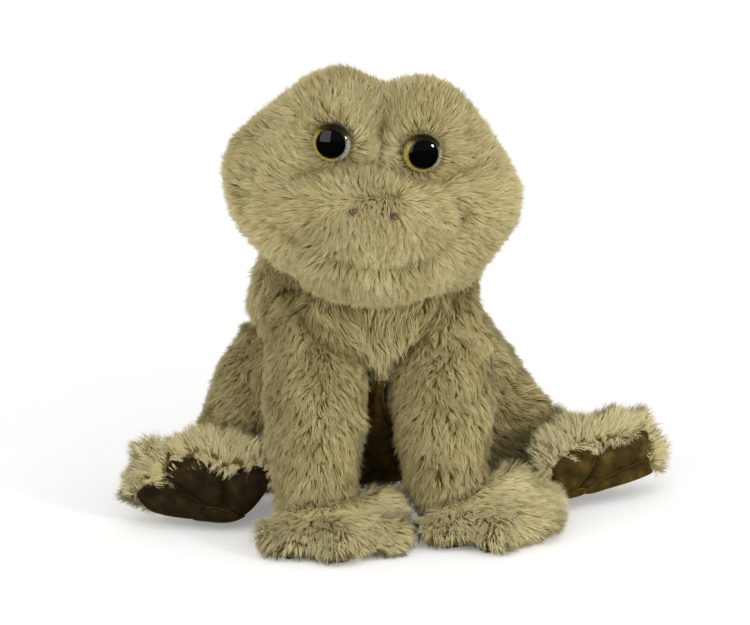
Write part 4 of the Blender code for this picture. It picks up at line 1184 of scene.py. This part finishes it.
for way, tints in RING_GOLD_AND_PAINTED_LIGHT:
    towards = add_node(eye_finish, "ShaderNodeVectorMath", {0: centred.outputs[0]}, operation="DOT_PRODUCT")
    towards.inputs[1].default_value = way
    tint = ramp(eye_finish, towards.outputs["Value"], tints)
    if ring_reflection_and_shadow is None:
        ring_reflection_and_shadow = tint
        continue
    both = add_node(eye_finish, "ShaderNodeMix", data_type="RGBA", blend_type="MULTIPLY")
    both.inputs[0].default_value = 1.0
    eye_finish.node_tree.links.new(ring_reflection_and_shadow, both.inputs[6])
    eye_finish.node_tree.links.new(tint, both.inputs[7])
    ring_reflection_and_shadow = both.outputs[2]
flakes = add_node(eye_finish, "ShaderNodeTexNoise", {"Vector": eye_map.outputs["UV"]}, Scale=22.0, Detail=3.0)
sparkle = ramp(eye_finish, flakes.outputs["Fac"], [(0.35, "#b0a890"), (0.6, "#ffffff")])
mixed = add_node(eye_finish, "ShaderNodeMix", data_type="RGBA", blend_type="MULTIPLY")
mixed.inputs[0].default_value = 1.0
eye_finish.node_tree.links.new(paint, mixed.inputs[6])
eye_finish.node_tree.links.new(sparkle, mixed.inputs[7])
# The ring's painted reflection and painted shadow are multiplied into the paint
shaded = add_node(eye_finish, "ShaderNodeMix", data_type="RGBA", blend_type="MULTIPLY")
shaded.inputs[0].default_value = 1.0
eye_finish.node_tree.links.new(mixed.outputs[2], shaded.inputs[6])
eye_finish.node_tree.links.new(ring_reflection_and_shadow, shaded.inputs[7])
eye_finish.node_tree.links.new(shaded.outputs[2], shader.inputs["Base Color"])
black_finish, shader = new_finish("black_moulded_plastic", Roughness=0.45, IOR=1.5)
shader.inputs["Base Color"].default_value = linear("#0a0908")

# %% Eyes
DOME_HEIGHT = 5.4 * MM
EYE_STEPS = 64


def turned_piece(name, outline, side, finish):
    """A round piece spun from a few (radius, height) points about the way the eye looks."""
    mesh = bpy.data.meshes.new(name)
    points = [(radius, 0.0, height) for radius, height in outline]
    mesh.from_pydata(points, [(place, place + 1) for place in range(len(points) - 1)], [])
    piece = linked(name, mesh)
    select_only(piece)
    bpy.ops.object.mode_set(mode="EDIT")
    bpy.ops.mesh.select_all(action="SELECT")
    bpy.ops.mesh.spin(steps=EYE_STEPS, angle=2 * math.pi, center=(0, 0, 0), axis=(0, 0, 1))
    bpy.ops.mesh.select_all(action="SELECT")
    bpy.ops.mesh.remove_doubles(threshold=WELD)
    bpy.ops.mesh.normals_make_consistent(inside=False)
    bpy.ops.object.mode_set(mode="OBJECT")
    places = places_of(piece)
    layer = piece.data.uv_layers.new(name="eye")
    corners = np.empty(len(piece.data.loops), np.int64)
    piece.data.loops.foreach_get("vertex_index", corners)
    middle, facing = eyes[side]
    across = Vector((0, 0, 1)).cross(facing).normalized()
    upwards = facing.cross(across)
    flat = 0.5 + places[:, :2] / (2 * EYE_RADIUS)
    layer.data.foreach_set("uv", flat[corners].astype(np.float32).ravel())
    piece.data.transform(Matrix.Translation(middle) @ Matrix((across, upwards, facing)).transposed().to_4x4())
    piece.data.materials.append(finish)
    piece.data.shade_smooth()
    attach(piece, "head")
    return piece


def round_top(radius, low, high, steps=10):
    """Points of a flattened dome, from its rim to its middle."""
    turns = [math.pi / 2 * step / steps for step in range(steps + 1)]
    return [(radius * math.cos(turn), low + (high - low) * math.sin(turn)) for turn in turns]


for side in SIDES:
    rim = EYE_RADIUS
    dome = [(0.0, 0.4 * MM), (rim * 0.90, 0.4 * MM), (rim * 0.97, 0.5 * MM)] + round_top(rim, 0.9 * MM, DOME_HEIGHT)
    dome_piece = turned_piece(f"eye_dome_{side}", dome, side, eye_finish)
    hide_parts(f"eye_lens_{side}")
    back = [(0.0, -2.4 * MM), (EYE_RADIUS * 0.88, -2.4 * MM), (EYE_RADIUS * 0.97, -1.6 * MM), (EYE_RADIUS * 0.98, 0.1 * MM)]
    back += [(EYE_RADIUS * 0.96, 0.3 * MM), (EYE_RADIUS * 0.5, 0.25 * MM), (0.0, 0.25 * MM)]
    back_piece = turned_piece(f"eye_back_shell_{side}", back, side, black_finish)
    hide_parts(f"eye_back_{side}")
print("eyes made")

# %% [markdown]
# Each nostril is a few satin stitches of thick thread, pulled down into the pile.

# %% Nostrils
thread_finish, shader = new_finish("brown_satin_thread", Roughness=0.6, IOR=1.5)
where = add_node(thread_finish, "ShaderNodeTexCoord")
twist = add_node(thread_finish, "ShaderNodeTexNoise", {"Vector": where.outputs["Object"]}, Scale=1 / (0.5 * MM), Detail=2.0)
shade = ramp(thread_finish, twist.outputs["Fac"], [(0.3, "#542a1e"), (0.7, "#85503e")])
thread_finish.node_tree.links.new(shade, shader.inputs["Base Color"])
THREAD_RADIUS = 0.42 * MM
STITCHES = 5
STITCH_REACH = 2.3 * MM
STITCH_SPREAD = 3.0 * MM
STITCH_DEPTH = 1.6 * MM

for side in SIDES:
    start = nostrils[side]
    near, facing, _, _ = outer_trees["head"].find_nearest(start)
    upright = Vector((0, 0, 1)) - facing * facing.z
    upright.normalize()
    sideways = upright.cross(facing)
    stitches = []
    for stitch in range(STITCHES):
        share = stitch / (STITCHES - 1) - 0.5
        bpy.ops.object.select_all(action="DESELECT")
        bpy.ops.mesh.primitive_uv_sphere_add(segments=10, ring_count=8, radius=THREAD_RADIUS)
        thread = bpy.context.object
        thread.scale = (STITCH_REACH / THREAD_RADIUS * (1 - 0.8 * share * share), 1.0, 1.6)
        thread.matrix_world = (
            Matrix.Translation(near - facing * STITCH_DEPTH + upright * share * STITCH_SPREAD)
            @ Matrix((sideways, upright, facing)).transposed().to_4x4()
            @ Matrix.Rotation(0.25 * share, 4, "Z")
            @ Matrix.Diagonal((*thread.scale, 1.0))
        )
        select_only(thread)
        bpy.ops.object.transform_apply(location=True, rotation=True, scale=True)
        stitches.append(thread)
    select_only(*stitches)
    bpy.ops.object.join()
    nostril = stitches[0]
    nostril.name = f"nostril_stitches_{side}"
    nostril.data.shade_smooth()
    nostril.data.materials.append(thread_finish)
    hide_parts(f"nostril_{side}")
    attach(nostril, "head")

# %% [markdown]
# The washers and the bag of pellets stay hidden inside, but they still get the finish of the real thing.

# %% Finishes of what lies inside
washer_finish, shader = new_finish("white_nylon", Roughness=0.45, IOR=1.53)
where = add_node(washer_finish, "ShaderNodeTexCoord")
mould = add_node(washer_finish, "ShaderNodeTexNoise", {"Vector": where.outputs["Object"]}, Scale=1 / (3 * MM))
shade = ramp(washer_finish, mould.outputs["Fac"], [(0.3, "#e4e4df"), (0.7, "#f2f2ee")])
washer_finish.node_tree.links.new(shade, shader.inputs["Base Color"])
bag_finish, shader = new_finish("unbleached_cotton", Roughness=0.95, IOR=1.45)
where = add_node(bag_finish, "ShaderNodeTexCoord")
weave = add_node(bag_finish, "ShaderNodeTexNoise", {"Vector": where.outputs["Object"]}, Scale=1 / (1 * MM))
shade = ramp(bag_finish, weave.outputs["Fac"], [(0.3, "#cfc6b2"), (0.7, "#e6dfcf")])
bag_finish.node_tree.links.new(shade, shader.inputs["Base Color"])
for node, finish in (("pellet_bag", bag_finish), ("eye_washer_right", washer_finish), ("eye_washer_left", washer_finish)):
    for place in range(len(frame["nodes"][node].material_slots)):
        frame["nodes"][node].material_slots[place].material = finish

# %% [markdown]
# The toy was photographed on white. A wide pale floor, a large lamp to the left, a small one to the right
# and an even sky give the same soft light, at a level where colours come out as they are written.

# %% Floor, lamps and sky
floor_finish, shader = new_finish("white_paper_sweep", Roughness=0.9, IOR=1.45)
shader.inputs["Base Color"].default_value = linear("#fbfbfa")
shader.inputs["Specular IOR Level"].default_value = 0.0
paths = add_node(floor_finish, "ShaderNodeLightPath")
glow = add_node(floor_finish, "ShaderNodeEmission", Strength=0.22)
lit = add_node(floor_finish, "ShaderNodeAddShader", {0: shader.outputs[0], 1: glow.outputs[0]})
chosen = add_node(floor_finish, "ShaderNodeMixShader", {0: paths.outputs["Is Camera Ray"], 1: shader.outputs[0], 2: lit.outputs[0]})
dark = add_node(floor_finish, "ShaderNodeBsdfDiffuse")
dark.inputs["Color"].default_value = linear("#38383a")
chosen = add_node(floor_finish, "ShaderNodeMixShader", {0: paths.outputs["Is Glossy Ray"], 1: chosen.outputs[0], 2: dark.outputs[0]})
floor_finish.node_tree.links.new(chosen.outputs[0], floor_finish.node_tree.nodes["Material Output"].inputs[0])
bpy.ops.object.select_all(action="DESELECT")
bpy.ops.mesh.primitive_plane_add(size=14.0, location=(0, 0, 0))
floor = bpy.context.object
floor.name = "floor"
floor.data.materials.append(floor_finish)


def add_lamp(name, place, wide, high, power):
    bpy.ops.object.light_add(type="AREA", location=place)
    lamp = bpy.context.object
    lamp.name = name
    lamp.data.shape = "RECTANGLE"
    lamp.data.size = wide
    lamp.data.size_y = high
    lamp.data.energy = power
    lamp.rotation_euler = (Vector(place) - CAMERA_TARGET).to_track_quat("Z", "Y").to_euler()
    return lamp


add_lamp("window_lamp", (-1.35, -1.10, 0.45), 1.10, 1.60, 7.5)
add_lamp("side_lamp", (0.93, -1.40, 0.58), 0.26, 0.26, 8.0)
world = bpy.data.worlds.new("even_sky")
world.use_nodes = True
bpy.context.scene.world = world
sky = world.node_tree.nodes["Background"]
sky.inputs["Color"].default_value = linear("#ffffff")
sky.inputs["Strength"].default_value = 0.78
paths = world.node_tree.nodes.new("ShaderNodeLightPath")
mirrored = sky.outputs[0]
# The eyes mirror a dark room, and the camera sees white
for ray, strength in (("Is Glossy Ray", 0.14), ("Is Camera Ray", 1.0)):
    other = world.node_tree.nodes.new("ShaderNodeBackground")
    other.inputs["Strength"].default_value = strength
    choose = world.node_tree.nodes.new("ShaderNodeMixShader")
    world.node_tree.links.new(paths.outputs[ray], choose.inputs[0])
    world.node_tree.links.new(mirrored, choose.inputs[1])
    world.node_tree.links.new(other.outputs[0], choose.inputs[2])
    mirrored = choose.outputs[0]
world.node_tree.links.new(mirrored, world.node_tree.nodes["World Output"].inputs[0])
bpy.context.scene.view_settings.view_transform = "Standard"
